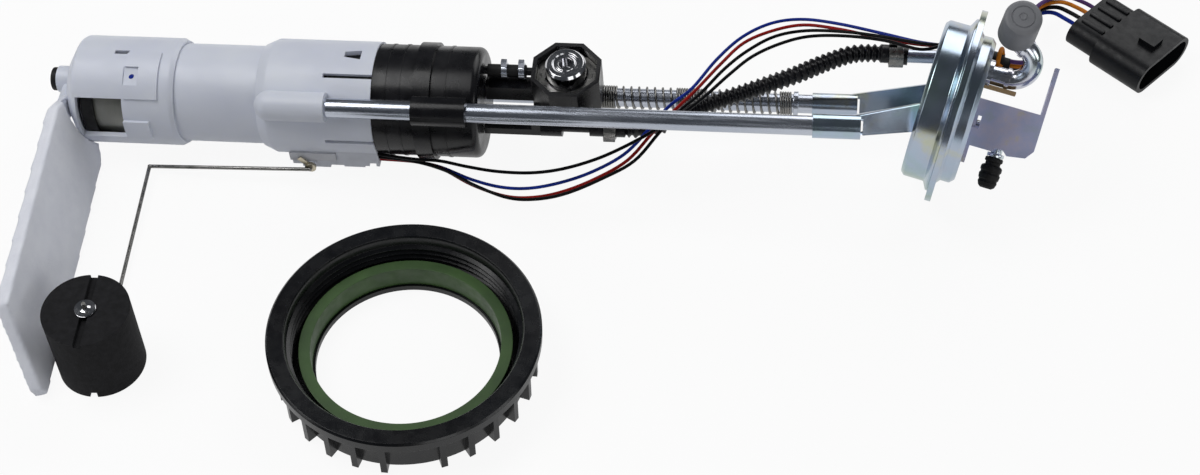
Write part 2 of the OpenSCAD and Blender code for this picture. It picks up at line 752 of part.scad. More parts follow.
// Black holder with the regulator cup, the spring seat and the hose nipples
module regulator_holder() {
    color("dimgray") lie() difference() {
        union() {
            at_regulator() translate([0, 0, cup_floor - 3]) rotate([0, 0, 22.5])
                cylinder(h = cup_top - cup_floor + 3, d = cup_d, $fn = 8);
            // Boss on the rear rod, with the spring seat at its end
            clock(rod_clock + 180) translate([0, rod_offset, 0])
                xrod(regulator_x - 9, spring_x - 0.3, rod_bore + 5);
            translate([regulator_x - 9, 4, -16]) cube([19, 18, 15]);
            // Arms to the filter housing
            translate([housing_end + 0.2, 1.5, 0.6]) cube([regulator_x - 12 - housing_end, 7, 7]);
            translate([housing_end + 0.2, -9.6, -8.6]) cube([regulator_x - 9 - housing_end, 3.4, 3.4]);
            translate([regulator_x - 14, -9.6, -8.6]) cube([5, 12, 8]);
            // Inlet and outlet nipples
            translate([0, outlet_y, outlet_z]) xrod(regulator_x - 23, regulator_x - 10, outlet_d);
            translate([0, nipple_y, nipple_z]) xrod(regulator_x - 10, 238, nipple_d);
            translate([0, nipple_y, nipple_z]) xrod(regulator_x - 10, regulator_x - 1, nipple_d + 4);
        }
        at_regulator() translate([0, 0, cup_floor]) rotate([0, 0, 22.5])
            cylinder(h = 30, d = cup_d - 2 * cup_wall, $fn = 8);
        clock(rod_clock + 180) translate([0, rod_offset, 0])
            xrod(regulator_x - 20, spring_x + over, rod_bore);
        clock(rod_clock) translate([0, rod_offset, 0])
            xrod(regulator_x - 40, spring_x + 20, rod_bore + 1.5);
        translate([0, nipple_y, nipple_z]) xrod(regulator_x, 240, nipple_d - 2);
        translate([0, outlet_y, outlet_z]) xrod(regulator_x - 24, regulator_x - 12, outlet_d - 1.6);
    }
}

// Chrome pressure regulator
module regulator() {
    r = regulator_d / 2;
    z0 = 11.6;
    color("silver") lie() at_regulator() rotate_extrude() difference() {
        polygon([
            [0, cup_floor + 0.2], [5, cup_floor + 0.2], [5, 3], [10.4, 3], [10.4, 9.6], [11.6, 9.6],
            [11.6, 10.6], [r + 0.6, 10.6], [r, z0], [r, z0 + regulator_h - 1.2], [r - 1, z0 + regulator_h],
            [r - 3, z0 + regulator_h], [r - 3.4, z0 + regulator_h - 0.7], [r - 4.2, z0 + regulator_h - 0.7],
            [r - 4.6, z0 + regulator_h - 0.2], [0, z0 + regulator_h - 0.2]
        ]);
        translate([-over, z0 + 1.5]) square([2.9 + over, 20]);
    }
}

// Flat spring clip over the regulator
module regulator_clip() {
    color("gray") lie() at_regulator() translate([0, 0, 10.7]) difference() {
        intersection() {
            rotate([0, 0, 22.5]) cylinder(h = 0.8, d = cup_d - 2 * cup_wall - 0.4, $fn = 8);
            translate([-20, -9.5, -over]) cube([40, 19, 4]);
        }
        translate([0, 0, -over]) cylinder(h = 4, d = regulator_d + 1.6);
    }
}

// Clamp on the lower end of the corrugated hose
module lower_clamp() {
    color("dimgray") lie() translate([0, nipple_y, nipple_z]) {
        xtube(230, 235, hose_d + 1.8, hose_d + 0.2);
        translate([230, -hose_d / 2 - 2.8, -1.6]) cube([5, 2.2, 3.2]);
    }
}

// Guide rods, crimped into the straps at the flange end
module guide_rod(angle, end_x) {
    clock(angle) translate([0, rod_offset, 0]) xtube(rod_tip_x, end_x, rod_d, rod_d - 2 * rod_wall);
}
module front_rod() {
    color("silver") lie() guide_rod(rod_clock, rod_end_x);
}
module rear_rod() {
    stop_x = spring_x + spring_len;
    color("silver") lie() {
        guide_rod(rod_clock + 180, rod_end_x);
        clock(rod_clock + 180) translate([0, rod_offset, 0])
            xtube(stop_x, stop_x + 2, rod_d + 2.4, rod_d - 1);
    }
}

// Plain outer shape of the spring round the rear rod
module rod_spring() {
    color("gray") lie() clock(rod_clock + 180) translate([0, rod_offset, 0])
        xtube(spring_x, spring_x + spring_len, rod_bore + 2 * spring_wire_d, rod_bore);
}

// Folded socket on the rod end, and the flat bar from it to the flange
module strap(angle, toe) {
    channel_d = rod_d + 1.8;
    channel_x = rod_end_x - 4;
    grip = 15;
    bar_t = 2.4;
    tail = [rod_end_x + grip - 4, -rod_offset * cos(angle), rod_offset * sin(angle) + 0.6];
    difference() {
        union() {
            clock(angle) translate([0, rod_offset, 0]) xrod(channel_x, rod_end_x + grip, channel_d);
            hull() {
                translate(tail) rotate([90 - angle, 0, 0]) cube([3, channel_d - 2, bar_t], center = true);
                translate(toe) rotate([90 - angle, 0, 0]) cube([2, 11, bar_t], center = true);
            }
        }
        clock(angle) translate([0, rod_offset, 0]) {
            xrod(channel_x - over, rod_end_x, rod_d + 2 * fit);
            xrod(channel_x - over, rod_end_x + grip + over, rod_d - 1);
        }
    }
}

// Bars end flat on the cup of the flange
module cup_side() {
    at_flange() translate([-60 - flange_cup_h, -60, -60]) cube([60, 120, 120]);
}
module front_strap() {
    color("lightsteelblue") lie() intersection() {
        strap(rod_clock, [359, -12, 13.5]);
        cup_side();
    }
}
module rear_strap() {
    color("lightsteelblue") lie() intersection() {
        strap(rod_clock + 180, [365, 24, -12]);
        cup_side();
    }
}

// Pressed plate with the dome on the outside and a raised seat round its tank side
module flange_plate() {
    r = dome_d / 2;
    seat_r = flange_cup_d / 2 + 3.6;
    color("lightsteelblue") lie() at_flange() xturn([
        [-plate_t / 2, r - 4], [-plate_t / 2, seat_r], [-plate_t / 2 - 0.3, seat_r],
        [-plate_t / 2 - 0.3, plate_d / 2], [plate_t / 2, plate_d / 2],
        [plate_t / 2, r + 1.6], [plate_t / 2 + 1.4, r], [dome_h - 1.8, r], [dome_h, r - 1.8],
        [dome_h, 0], [dome_h - press_t, 0], [dome_h - press_t, r - 2.6], [plate_t / 2, r - press_t - 1.1],
        [plate_t / 2, r - 4]
    ]);
}

// Pressed cup on the tank side
module flange_cup() {
    r = flange_cup_d / 2;
    color("lightsteelblue") lie() at_flange() xturn([
        [-plate_t / 2, r - 1], [-plate_t / 2, r + 3.4], [-plate_t / 2 - 1.2, r + 3.4],
        [-plate_t / 2 - 3, r], [-flange_cup_h + 1.5, r], [-flange_cup_h, r - 1.5], [-flange_cup_h, 0],
        [-flange_cup_h + press_t, 0], [-flange_cup_h + press_t, r - press_t - 0.6],
        [-plate_t / 2 - 1, r - press_t]
    ]);
}

stub_y = 31;
stub_z = 5;
// Nipple for the corrugated hose on the cup
module hose_nipple() {
    color("silver") lie() difference() {
        translate([352, stub_y, stub_z]) xrod(0, 17, 5.6);
        translate([351, stub_y, stub_z]) xrod(0, 23, 3.6);
        at_flange() translate([-flange_cup_h, -60, -60]) cube([60, 120, 120]);
    }
}

// Corrugated hose between the regulator holder and the flange
module fuel_hose() {
    color("black") lie() {
        cord(hose_route, hose_d, 10, 2);
        translate([0, nipple_y, nipple_z]) xtube(cuff_x, 240, hose_d, nipple_d + 2 * fit);
    }
}

// Spring clamp on the hose at the flange
module upper_clamp() {
    color("silver") lie() translate([0, stub_y + 0.4, stub_z]) {
        difference() {
            xtube(347, 353, hose_d + 2.6, hose_d + 0.8);
            translate([346, -1, hose_d / 2 - 1]) cube([9, 2, 5]);
        }
        translate([348, 1.1, hose_d / 2 + 0.6]) rotate([-15, 0, 0]) cube([2.4, 0.9, 4]);
        translate([350, -2, hose_d / 2 + 0.6]) rotate([15, 0, 0]) cube([2.4, 0.9, 4]);
    }
}

tube_root = [dome_h, 16.5, 0];
neck_len = 8.6;
neck_roll = 25;
elbow_r = 8;
elbow_turn = 159;
outlet_roll = 135;
outlet_r = 7;
outlet_turn = 76;
leg_len = 9;

// Frame at the end of a bend of the tube
module after_bend(r, turn) {
    translate([r * sin(turn), r * (1 - cos(turn)), 0]) rotate([0, 0, turn]) children();
}

// Round bar bent from the frame's origin along X and round towards Y
module bend(r, turn, d) {
    translate([0, r, 0]) rotate([0, 0, -90]) rotate_extrude(angle = turn) translate([r, 0]) circle(d = d);
}

// Frame at the mouth end of the fuel tube, with X along the way out
module at_outlet() {
    lie() at_flange() translate(tube_root) translate([neck_len, 0, 0]) rotate([neck_roll, 0, 0])
        after_bend(elbow_r, elbow_turn) rotate([outlet_roll, 0, 0])
            after_bend(outlet_r, outlet_turn) children();
}

// Bar along the whole tube, with a short knot over each end of a bend
module tube_bar(d, knot, extra) {
    lie() at_flange() translate(tube_root) {
        xrod(-extra, neck_len, d);
        translate([neck_len, 0, 0]) rotate([neck_roll, 0, 0]) {
            xrod(-0.8, 0.8, knot);
            bend(elbow_r, elbow_turn, d);
            after_bend(elbow_r, elbow_turn) rotate([outlet_roll, 0, 0]) {
                xrod(-0.8, 0.8, knot);
                bend(outlet_r, outlet_turn, d);
            }
        }
    }
    at_outlet() {
        xrod(-0.8, 0.4, knot);
        xrod(0, leg_len + extra, d);
    }
}

// Zinc tube that carries the fuel out of the flange
module fuel_tube() {
    bore = tube_d - 2 * tube_wall;
    color("silver") difference() {
        union() {
            tube_bar(tube_d, tube_d + 1.2, 0);
            lie() at_flange() translate(tube_root) xrod(0, 2, tube_d + 4);
        }
        tube_bar(bore, bore + 0.2, over);
    }
}

// Grey cap over the open end of the fuel tube
module dust_cap() {
    color("gray") at_outlet() difference() {
        xrod(0.4, 0.4 + dust_cap_len, dust_cap_d);
        xrod(0.4 - over, leg_len + 1, tube_d + 2 * fit);
    }
}

vent_x = 21;
vent_y = -5;
vent_z = 3;
vent_d = 4.6;
// Vent tube, bent down behind the bracket
module vent_tube() {
    color("silver") lie() at_flange() translate([0, vent_y, vent_z]) {
        xrod(dome_h, vent_x, vent_d);
        translate([vent_x, 0, 0]) sphere(d = vent_d);
        translate([vent_x, 0, 0]) rotate([90, 0, 0]) cylinder(h = 20, d = vent_d);
        translate([vent_x, -9, 0]) rotate([90, 0, 0]) cylinder(h = 1.6, d = vent_d + 2.4);
    }
}

// Rubber cap on the vent tube
module vent_cap() {
    color("black") lie() at_flange() translate([vent_x, vent_y - 10.8, vent_z]) rotate([90, 0, 0])
        difference() {
            union() {
                cylinder(h = 9, d1 = 9, d2 = 8.4);
                translate([0, 0, 9]) cylinder(h = 4, d1 = 8.4, d2 = 6);
            }
            translate([0, 0, -over]) cylinder(h = 11, d = vent_d + 2 * fit);
        }
}

bracket_t = 1.6;
face_z = 10;
arm_x = 33.4;
// Bent bracket welded to the dome
module bracket() {
    color("lightsteelblue") lie() at_flange() difference() {
        union() {
            translate([dome_h, -21, face_z - 12]) cube([bracket_t, 27, 12 + bracket_t]);
            translate([dome_h, 0, face_z]) linear_extrude(bracket_t) polygon([
                [0, 6], [arm_x - dome_h + bracket_t, 6], [arm_x - dome_h + bracket_t, -9],
                [arm_x - dome_h - 1, -12.6], [17, -13.8], [15, -12], [12, -12], [11, -13.6], [0, -13.6]
            ]);
            translate([arm_x, -9, face_z - 14]) cube([bracket_t, 15, 14 + bracket_t]);
            translate([arm_x, 0, face_z - 8]) cube([bracket_t, 25.8, 8 + bracket_t]);
        }
        translate([dome_h - over, -6, face_z - over]) cube([4, 5, 5]);
        translate([0, vent_y, vent_z]) xrod(dome_h - over, dome_h + bracket_t + over, vent_d + 0.6);
        translate([arm_x - over, 20, face_z - 4]) rotate([0, 90, 0]) cylinder(h = 5, d = 4.2);
    }
}

grommet = [dome_h, 21.5, -12];
// Grommet where the wires leave the flange
module wire_grommet() {
    color("black") lie() at_flange() translate(grommet) {
        xrod(0, 5, 10);
        xrod(5, 8, 7.4);
    }
}

// Pigtail from the grommet to the connector, in the floor frame, with its four wires
// one above the other at the grommet and side by side at the connector
pigtail_d = 1.9;
pigtail_pitch = 2.3;
pin_pitch = 5;
connector_at = [441, 100, 8];
connector_yaw = -41;
connector_len = 41;
connector_w = 38;
connector_t = 16;
pigtail_route = [
    [395.8, 27.1, 46], [401, 27, 46], [406, 32, 44], [409, 44, 37], [410, 60, 27], [411, 77, 18],
    [414, 93, 12.5], [420, 103.5, 9.6], [428, 107.6, 8.4], [435, 104.8, 8], connector_at,
    connector_at + [3.8, -3.3, 0]
];
pigtail_fan = [0, 0, 0, 0, 0, 0, 0.05, 0.12, 0.5, 0.9, 1, 1];
function pigtail_step(k) = let (f = pigtail_fan[k])
    (1 - f * f) * [0, 0, pigtail_pitch]
    + f * pin_pitch * [-sin(connector_yaw), cos(connector_yaw), 0];
module pigtail(i) {
    route = [for (k = [0:len(pigtail_route) - 1]) pigtail_route[k] + (i - 1.5) * pigtail_step(k)];
    translate([-mid_x, -mid_y, 0]) cord(route, pigtail_d, 8, 3);
}
module pigtail_blue() {
    color("blue") pigtail(0);
}
module pigtail_black() {
    color("black") pigtail(1);
}
module pigtail_orange() {
    color("orange") pigtail(2);
}
module pigtail_violet() {
    color("purple") pigtail(3);
}

// Connector frame: X from the wire end to the mouth
module at_connector() {
    translate([-mid_x, -mid_y, 0]) translate([connector_at[0], connector_at[1], connector_t / 2])
        rotate([0, 0, connector_yaw]) children();
}

// Rounded bar along X for the connector
module pill(x0, x1, w, t) {
    translate([x0, 0, 0]) rotate([90, 0, 90]) linear_extrude(x1 - x0) hull()
        for (s = [-1, 1]) translate([s * (w - t) / 2, 0]) circle(d = t, $fn = 32);
}

// Black four-way connector shell
module connector_shell() {
    color("black") at_connector() difference() {
        union() {
            pill(0, 18, connector_w - 5, connector_t - 3);
            pill(15, connector_len, connector_w, connector_t);
            translate([28, -3.5, connector_t / 2 - 1]) cube([8, 7, 3.4]);
        }
        pill(18, connector_len + over, connector_w - 4, connector_t - 4);
        for (i = [0:3])
            translate([0, (i - 1.5) * pin_pitch, 0]) {
                xrod(-over, 8, pigtail_d + fit);
                translate([9.9, -0.75, -0.45]) cube([10, 1.5, 0.9]);
            }
    }
}

// Four flat pins inside the connector
module connector_pins() {
    color("gold") at_connector() for (i = [0:3])
        translate([10, (i - 1.5) * pin_pitch - 0.7, -0.4]) cube([20, 1.4, 0.8]);
}

// Wires inside the tank
module wire_blue() {
    color("blue") lie() cord(blue_route, wire_d, 8, 2);
}
module wire_red() {
    color("red") lie() cord(red_route, wire_d, 8, 2);
}
module wire_black() {
    color("black") lie() cord(black_route, wire_d, 8, 2);
}
module wire_ground() {
    color("black") lie() cord(ground_route, wire_d, 8, 2);
}

// Middle of the lock ring on the floor, in the footprint's frame
ring_x = 162;
ring_y = -114;
module at_ring() {
    translate([ring_x - mid_x, ring_y - mid_y, 0]) children();
}

// Lock ring with its rim uppermost, an inner thread and lugs round the skirt
module lock_ring() {
    rim_t = 4.6;
    lip_t = 2.6;
    pitch = 3;
    turns = 4;
    wall_r = thread_d / 2 + 1.5;
    thread = [for (i = [0:turns - 1]) each [
        [wall_r, 6 + pitch * i], [thread_d / 2, 6 + pitch * i + 0.9],
        [thread_d / 2, 6 + pitch * i + 1.4], [wall_r, 6 + pitch * i + 2.3]
    ]];
    color("black") at_ring() {
        rotate_extrude($fn = 96) polygon(concat(
            [[ring_hole_d / 2, 0], [ring_hole_d / 2, lip_t], [wall_r, lip_t]],
            thread,
            [[wall_r, ring_h - 1.2], [wall_r + 0.8, ring_h], [ring_d / 2 - 0.8, ring_h],
                [ring_d / 2, ring_h - 0.8], [ring_d / 2, ring_h - rim_t],
                [skirt_d / 2, ring_h - rim_t - 1.5], [skirt_d / 2 - 0.6, 0]]));
        for (i = [0:lug_places - 1])
            if (i % 7 != 0)
                rotate([0, 0, -78 + 360 / lug_places * i])
                    translate([skirt_d / 2 - 1, -1.3, 0]) cube([4.2, 2.6, ring_h - rim_t + 0.5]);
    }
}

// Green seal lying loose in the lock ring
module ring_seal() {
    r = ring_hole_d / 2 + 1;
    color("green") at_ring() translate([0, 0, 2.6]) rotate_extrude($fn = 96) polygon([
        [r, 0], [r + 1.6, 0], [r + 1.6, 7.6], [r + 4.6, 8.4], [r + 4.6, 9.8], [r, 9.8]
    ]);
}

flange_plate();
flange_cup();
hose_nipple();
fuel_tube();
vent_tube();
bracket();
wire_grommet();
front_strap();
rear_strap();
front_rod();
rear_rod();
rod_spring();
fuel_hose();
upper_clamp();
pigtail_blue();
pigtail_black();
pigtail_orange();
pigtail_violet();
connector_shell();
connector_pins();
wire_blue();
wire_red();
wire_black();
wire_ground();
dust_cap();
vent_cap();
inlet_cap();
cap_valve();
pump_barrel();
outer_sleeve();
filter_housing();
filter_element();
isolator_ring();
pump_can();
inlet_cover();
pump_plate();
magnets();
outlet_cover();
brushes();
strainer_neck();
neck_plug();
strainer_sock();
sender_base();
sender_card();
outlet_hose();
outlet_clamp();
regulator_holder();
regulator();
regulator_clip();
lower_clamp();
armature();
impeller();
check_valve();
float_arm();
float();
float_nut();
wiper();
lock_ring();
ring_seal();
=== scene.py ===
"""Fuel pump module on a pale floor, with its lock ring beside it.

Routes, profiles, radii and widths are in millimetres, in the frames given below, and MM makes
them metres. The camera and the lamps are in metres.
"""

import json
import math

import bpy
from mathutils import Matrix, Vector

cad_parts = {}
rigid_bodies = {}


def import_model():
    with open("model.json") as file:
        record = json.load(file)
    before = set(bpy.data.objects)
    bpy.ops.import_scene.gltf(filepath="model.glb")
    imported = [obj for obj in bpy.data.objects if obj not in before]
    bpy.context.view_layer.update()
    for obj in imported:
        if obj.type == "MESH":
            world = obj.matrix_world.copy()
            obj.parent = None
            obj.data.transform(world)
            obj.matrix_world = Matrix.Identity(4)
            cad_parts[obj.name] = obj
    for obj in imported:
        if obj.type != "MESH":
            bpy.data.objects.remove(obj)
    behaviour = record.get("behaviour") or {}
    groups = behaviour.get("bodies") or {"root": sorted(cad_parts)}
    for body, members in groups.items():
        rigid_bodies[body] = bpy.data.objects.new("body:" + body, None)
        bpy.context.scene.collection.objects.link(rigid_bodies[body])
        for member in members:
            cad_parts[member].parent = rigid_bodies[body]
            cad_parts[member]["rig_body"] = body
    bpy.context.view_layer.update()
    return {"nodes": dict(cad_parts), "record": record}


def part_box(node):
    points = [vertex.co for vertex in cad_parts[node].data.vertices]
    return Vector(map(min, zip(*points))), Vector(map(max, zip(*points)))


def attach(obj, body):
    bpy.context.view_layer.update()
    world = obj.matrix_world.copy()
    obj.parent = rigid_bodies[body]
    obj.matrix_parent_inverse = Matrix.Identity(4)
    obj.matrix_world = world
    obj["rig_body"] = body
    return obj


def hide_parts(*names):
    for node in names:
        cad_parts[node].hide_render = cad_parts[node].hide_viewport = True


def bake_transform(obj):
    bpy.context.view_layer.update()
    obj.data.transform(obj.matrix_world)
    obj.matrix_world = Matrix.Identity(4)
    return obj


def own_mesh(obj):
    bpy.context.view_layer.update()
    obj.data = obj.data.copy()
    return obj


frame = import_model()

MM = 0.001

# ---------------------------------------------------------------- frames


def shift(x, y, z):
    return Matrix.Translation(Vector((x, y, z)) * MM)


def turn(degrees, axis):
    return Matrix.Rotation(math.radians(degrees), 4, axis)


def bend(radius, degrees):
    """The end of a bend that starts along X and turns towards Y."""
    angle = math.radians(degrees)
    across = radius - radius * math.cos(angle)
    return shift(radius * math.sin(angle), across, 0) @ turn(degrees, "Z")


SOCK_HALF_WIDTH = 19
MODULE_HEIGHT, MODULE_TILT = 22.3827, -2.7956
CONNECTOR_YAW = -41
CONNECTOR_HEIGHT = 8

# On the floor, below the inlet end of the module's axis
FOOT = shift(-202.66, 58.89, 0)
# X is the module's axis, which rises towards the head
MODULE = FOOT @ shift(0, 0, MODULE_HEIGHT) @ turn(MODULE_TILT, "Y")
# The middle of the flange, with X pointing out of the tank
FLANGE = MODULE @ shift(375, 7.6, 0) @ turn(-13.5, "Z") @ turn(6.4, "Y") @ turn(43.4, "X")
# The open end of the fuel tube, after its two bends
OUTLET = (
    FLANGE @ shift(16.6, 16.5, 0) @ turn(25, "X") @ bend(8, 159) @ turn(135, "X") @ bend(7, 76)
)
VENT_MOUTH = FLANGE @ shift(21, -15.8, 3) @ turn(-90, "Z")
REAR_ROD = MODULE @ shift(0, 21.08, -15.89)
SOCK = FOOT @ shift(5.2, -9.4, SOCK_HALF_WIDTH) @ turn(5, "Z") @ turn(-17, "Y")
# X points out of the connector's mouth
CONNECTOR = FOOT @ shift(441, 100, CONNECTOR_HEIGHT) @ turn(CONNECTOR_YAW, "Z")

# ---------------------------------------------------------------- routes in the module's frame

# Each starts or ends on a piece of the pump unit, and crosses to the head
HOSE_CUFF = [(224, -7.5, -4.4), (232, -7.5, -4.4)]
HOSE_ROUTE = [
    (240, -7.5, -4.4), (246, -7.5, -4.4), (254, -5, -4), (263, 0, -2), (275, 4, 1),
    (287, 8, 3), (298, 12, 5), (309, 17, 6), (320, 24, 6), (332, 30, 6), (344, 32, 5),
    (355, 31, 5),
]
BLUE_ROUTE = [
    (367, 26, 17), (358, 28, 16.5), (343, 35, 14), (325, 44, 10), (310, 49, 7), (297, 47, 6),
    (285, 38, 6), (275, 23, 7), (266, 5, 8), (257, -6, 8), (249, -13, 1), (239, -18, -9),
    (226, -23, -15), (213, -28, -17), (200, -31, -18), (188, -31, -18), (175, -27, -18.5),
    (161, -20, -19.5), (150, -17.5, -19.5), (135.1, -17.5, -18.6),
]
RED_ROUTE = [
    (367, 23, 19.5), (357, 24, 19), (341, 30, 16.5), (326, 38, 12.5), (311, 43, 9.5),
    (298, 40, 8.5), (286, 32, 8.5), (277, 18, 9.5), (268, 2, 10.5), (259, -11, 10),
    (251, -17, 3.5), (241, -24, -6), (228, -29, -12.5), (215, -35, -14.5), (203, -38, -15.5),
    (191, -38, -15.5), (176, -32, -16), (162, -23, -17), (150, -19.5, -17.2),
    (135.1, -19.4, -16.4),
]
BLACK_ROUTE = [
    (367, 21, 22), (359, 22, 21.5), (342, 28, 19), (328, 34, 15), (312, 37, 12), (299, 34, 11),
    (288, 25, 11), (279, 13, 12), (270, -2, 12.5), (262, -13, 13), (254, -19, 6),
    (244, -26, -4), (231, -31, -10), (217, -38, -12), (205, -41, -13), (193, -41, -13),
    (179, -35, -13.5), (164, -26, -14.5), (150, -21.4, -14.8), (135.1, -20.4, -14),
]
GROUND_ROUTE = [
    (366, 17, 25), (358, 16, 24), (344, 23, 21.5), (328, 29, 17.5), (313, 31, 14.5),
    (301, 27, 13.5), (290, 19, 13.5), (281, 7, 14.5), (272, -6, 15), (264, -15, 14.5),
    (254, -19, 9), (241, -21, 0), (228, -24, -6), (214, -28, -8.5), (201, -29, -10.5),
    (187, -29, -10.5), (174, -27, -10.5), (162, -24, -11), (150, -22.6, -12),
    (135.1, -21, -11.6),
]
# The pigtail is in the frame of the foot, with the share of the fan at each point
PIGTAIL_ROUTE = [
    (395.8, 27.1, 46), (401, 27, 46), (406, 32, 44), (409, 44, 37), (410, 60, 27),
    (411, 77, 18), (414, 93, 12.5), (420, 103.5, 9.6), (428, 107.6, 8.4), (435, 104.8, 8),
    (441, 100, 8), (444.8, 96.7, 8),
]
PIGTAIL_FAN = [0, 0, 0, 0, 0, 0, 0.05, 0.12, 0.5, 0.9, 1, 1]
PIGTAIL_PITCH = 2.3
PIN_PITCH = 5
PIGTAIL_RADIUS = 0.95
TANK_WIRE_RADIUS = 0.7

# ---------------------------------------------------------------- material building


class Finish:
    """One finish: a shader whose colour, gloss and height can each follow a pattern."""

    def __init__(self, name, colour, roughness, metallic=0.0):
        self.material = bpy.data.materials.new(name)
        self.material.use_nodes = True
        self.tree = self.material.node_tree
        self.shader = self.tree.nodes["Principled BSDF"]
        self.shader.inputs["Base Color"].default_value = (*colour, 1)
        self.shader.inputs["Roughness"].default_value = roughness
        self.shader.inputs["Metallic"].default_value = metallic
        self.place = self.node("ShaderNodeTexCoord").outputs["Object"]
        self.height = None

    def node(self, kind, **inputs):
        made = self.tree.nodes.new(kind)
        for key, value in inputs.items():
            made.inputs[key].default_value = value
        return made

    def link(self, out, into):
        self.tree.links.new(out, into)

    def stretched(self, scale, turned=(0, 0, 0)):
        """Place for a pattern of fine lines, which run across the larger scales."""
        mapping = self.node("ShaderNodeMapping")
        mapping.inputs["Scale"].default_value = scale
        mapping.inputs["Rotation"].default_value = turned
        self.link(self.place, mapping.inputs["Vector"])
        return mapping.outputs["Vector"]

    def noise(self, scale, detail=4.0, roughness=0.5, place=None):
        made = self.node("ShaderNodeTexNoise", Scale=scale, Detail=detail, Roughness=roughness)
        self.link(place or self.place, made.inputs["Vector"])
        return made.outputs["Fac"]

    def ramp(self, fac, stops):
        """Colours over a pattern, from (position, colour) pairs."""
        made = self.node("ShaderNodeValToRGB")
        self.link(fac, made.inputs["Fac"])
        ramp = made.color_ramp
        ramp.elements[0].position, ramp.elements[1].position = stops[0][0], stops[-1][0]
        ramp.elements[0].color = (*stops[0][1], 1)
        ramp.elements[1].color = (*stops[-1][1], 1)
        for position, colour in stops[1:-1]:
            ramp.elements.new(position).color = (*colour, 1)
        return made.outputs["Color"]

    def spread(self, fac, low, high):
        """Values from low to high over the middle of a pattern."""
        made = self.node("ShaderNodeMapRange")
        for key, value in (("From Min", 0.3), ("From Max", 0.7), ("To Min", low), ("To Max", high)):
            made.inputs[key].default_value = value
        self.link(fac, made.inputs["Value"])
        return made.outputs["Result"]

    def colours(self, fac, stops):
        self.link(self.ramp(fac, stops), self.shader.inputs["Base Color"])

    def gloss(self, fac, low, high):
        self.link(self.spread(fac, low, high), self.shader.inputs["Roughness"])

    def bump(self, fac, strength, distance):
        """Adds a layer of relief, on top of the layers before it."""
        made = self.node("ShaderNodeBump", Strength=strength, Distance=distance * MM)
        self.link(fac, made.inputs["Height"])
        if self.height is not None:
            self.link(self.height, made.inputs["Normal"])
        self.height = made.outputs["Normal"]
        self.link(self.height, self.shader.inputs["Normal"])


def tone(colour, factor):
    return tuple(min(1.0, c * factor) for c in colour)


def moulded_white():
    f = Finish("moulded white plastic", (0.68, 0.71, 0.79), 0.42)
    f.colours(f.noise(24, 3), [(0.3, (0.63, 0.66, 0.76)), (0.7, (0.71, 0.74, 0.81))])
    f.gloss(f.noise(160, 3), 0.36, 0.5)
    f.bump(f.noise(90, 2), 0.12, 0.25)
    f.bump(f.noise(2600, 2), 0.12, 0.03)
    f.shader.inputs["Subsurface Weight"].default_value = 0.25
    f.shader.inputs["Subsurface Radius"].default_value = (0.004, 0.004, 0.005)
    return f.material


def moulded_black():
    f = Finish("moulded black plastic", (0.005, 0.005, 0.006), 0.3)
    f.colours(f.noise(60, 3), [(0.3, (0.003, 0.003, 0.004)), (0.7, (0.008, 0.008, 0.010))])
    f.gloss(f.noise(120, 4), 0.2, 0.36)
    f.shader.inputs["Specular IOR Level"].default_value = 0.35
    f.bump(f.noise(1900, 2), 0.18, 0.04)
    f.bump(f.noise(70, 2), 0.15, 0.2)
    return f.material


def grained_black():
    f = Finish("grained black plastic", (0.005, 0.005, 0.006), 0.4)
    f.colours(f.noise(35, 4), [(0.32, (0.003, 0.003, 0.004)), (0.7, (0.009, 0.010, 0.012))])
    f.gloss(f.noise(300, 3), 0.3, 0.46)
    f.bump(f.noise(2400, 3), 0.3, 0.06)
    f.shader.inputs["Specular IOR Level"].default_value = 0.22
    return f.material


def ring_black():
    f = Finish("ring plastic", (0.004, 0.004, 0.005), 0.25)
    f.colours(f.noise(35, 4), [(0.32, (0.003, 0.003, 0.004)), (0.7, (0.007, 0.008, 0.010))])
    f.gloss(f.noise(200, 3), 0.2, 0.32)
    f.bump(f.noise(2400, 3), 0.15, 0.04)
    f.shader.inputs["Specular IOR Level"].default_value = 0.4
    return f.material


def sheath_black():
    f = Finish("hose plastic", (0.005, 0.005, 0.006), 0.28)
    f.colours(f.noise(90, 3), [(0.3, (0.003, 0.003, 0.004)), (0.7, (0.009, 0.009, 0.011))])
    f.gloss(f.noise(500, 3), 0.2, 0.4)
    f.bump(f.noise(1200, 2), 0.15, 0.05)
    f.shader.inputs["Specular IOR Level"].default_value = 0.28
    return f.material


def plain_grey(name, colour, rough):
    f = Finish(name, colour, rough)
    f.colours(f.noise(80, 3), [(0.3, tone(colour, 0.86)), (0.7, tone(colour, 1.1))])
    f.gloss(f.noise(260, 3), rough - 0.08, rough + 0.08)
    f.bump(f.noise(2200, 3), 0.3, 0.05)
    return f.material


def cap_grey():
    return plain_grey("grey cap plastic", (0.20, 0.205, 0.22), 0.5)


# Darker, greyer copy of the white plastic for the sender, which sits in the shade under the
# housing: painted shade
def sender_white_painted_shade():
    return plain_grey("sender white plastic with painted shade", (0.58, 0.60, 0.66), 0.45)


def soft_rubber():
    f = Finish("rubber", (0.006, 0.006, 0.007), 0.62)
    f.colours(f.noise(140, 4), [(0.35, (0.004, 0.004, 0.005)), (0.75, (0.012, 0.012, 0.012))])
    f.shader.inputs["Specular IOR Level"].default_value = 0.3
    f.gloss(f.noise(400, 3), 0.5, 0.74)
    f.bump(f.noise(3000, 3), 0.4, 0.05)
    return f.material


def green_rubber():
    f = Finish("green seal rubber", (0.035, 0.085, 0.02), 0.5)
    f.colours(f.noise(60, 4), [(0.3, (0.028, 0.068, 0.016)), (0.7, (0.050, 0.112, 0.026))])
    f.gloss(f.noise(300, 3), 0.42, 0.6)
    f.bump(f.noise(1500, 3), 0.25, 0.06)
    return f.material


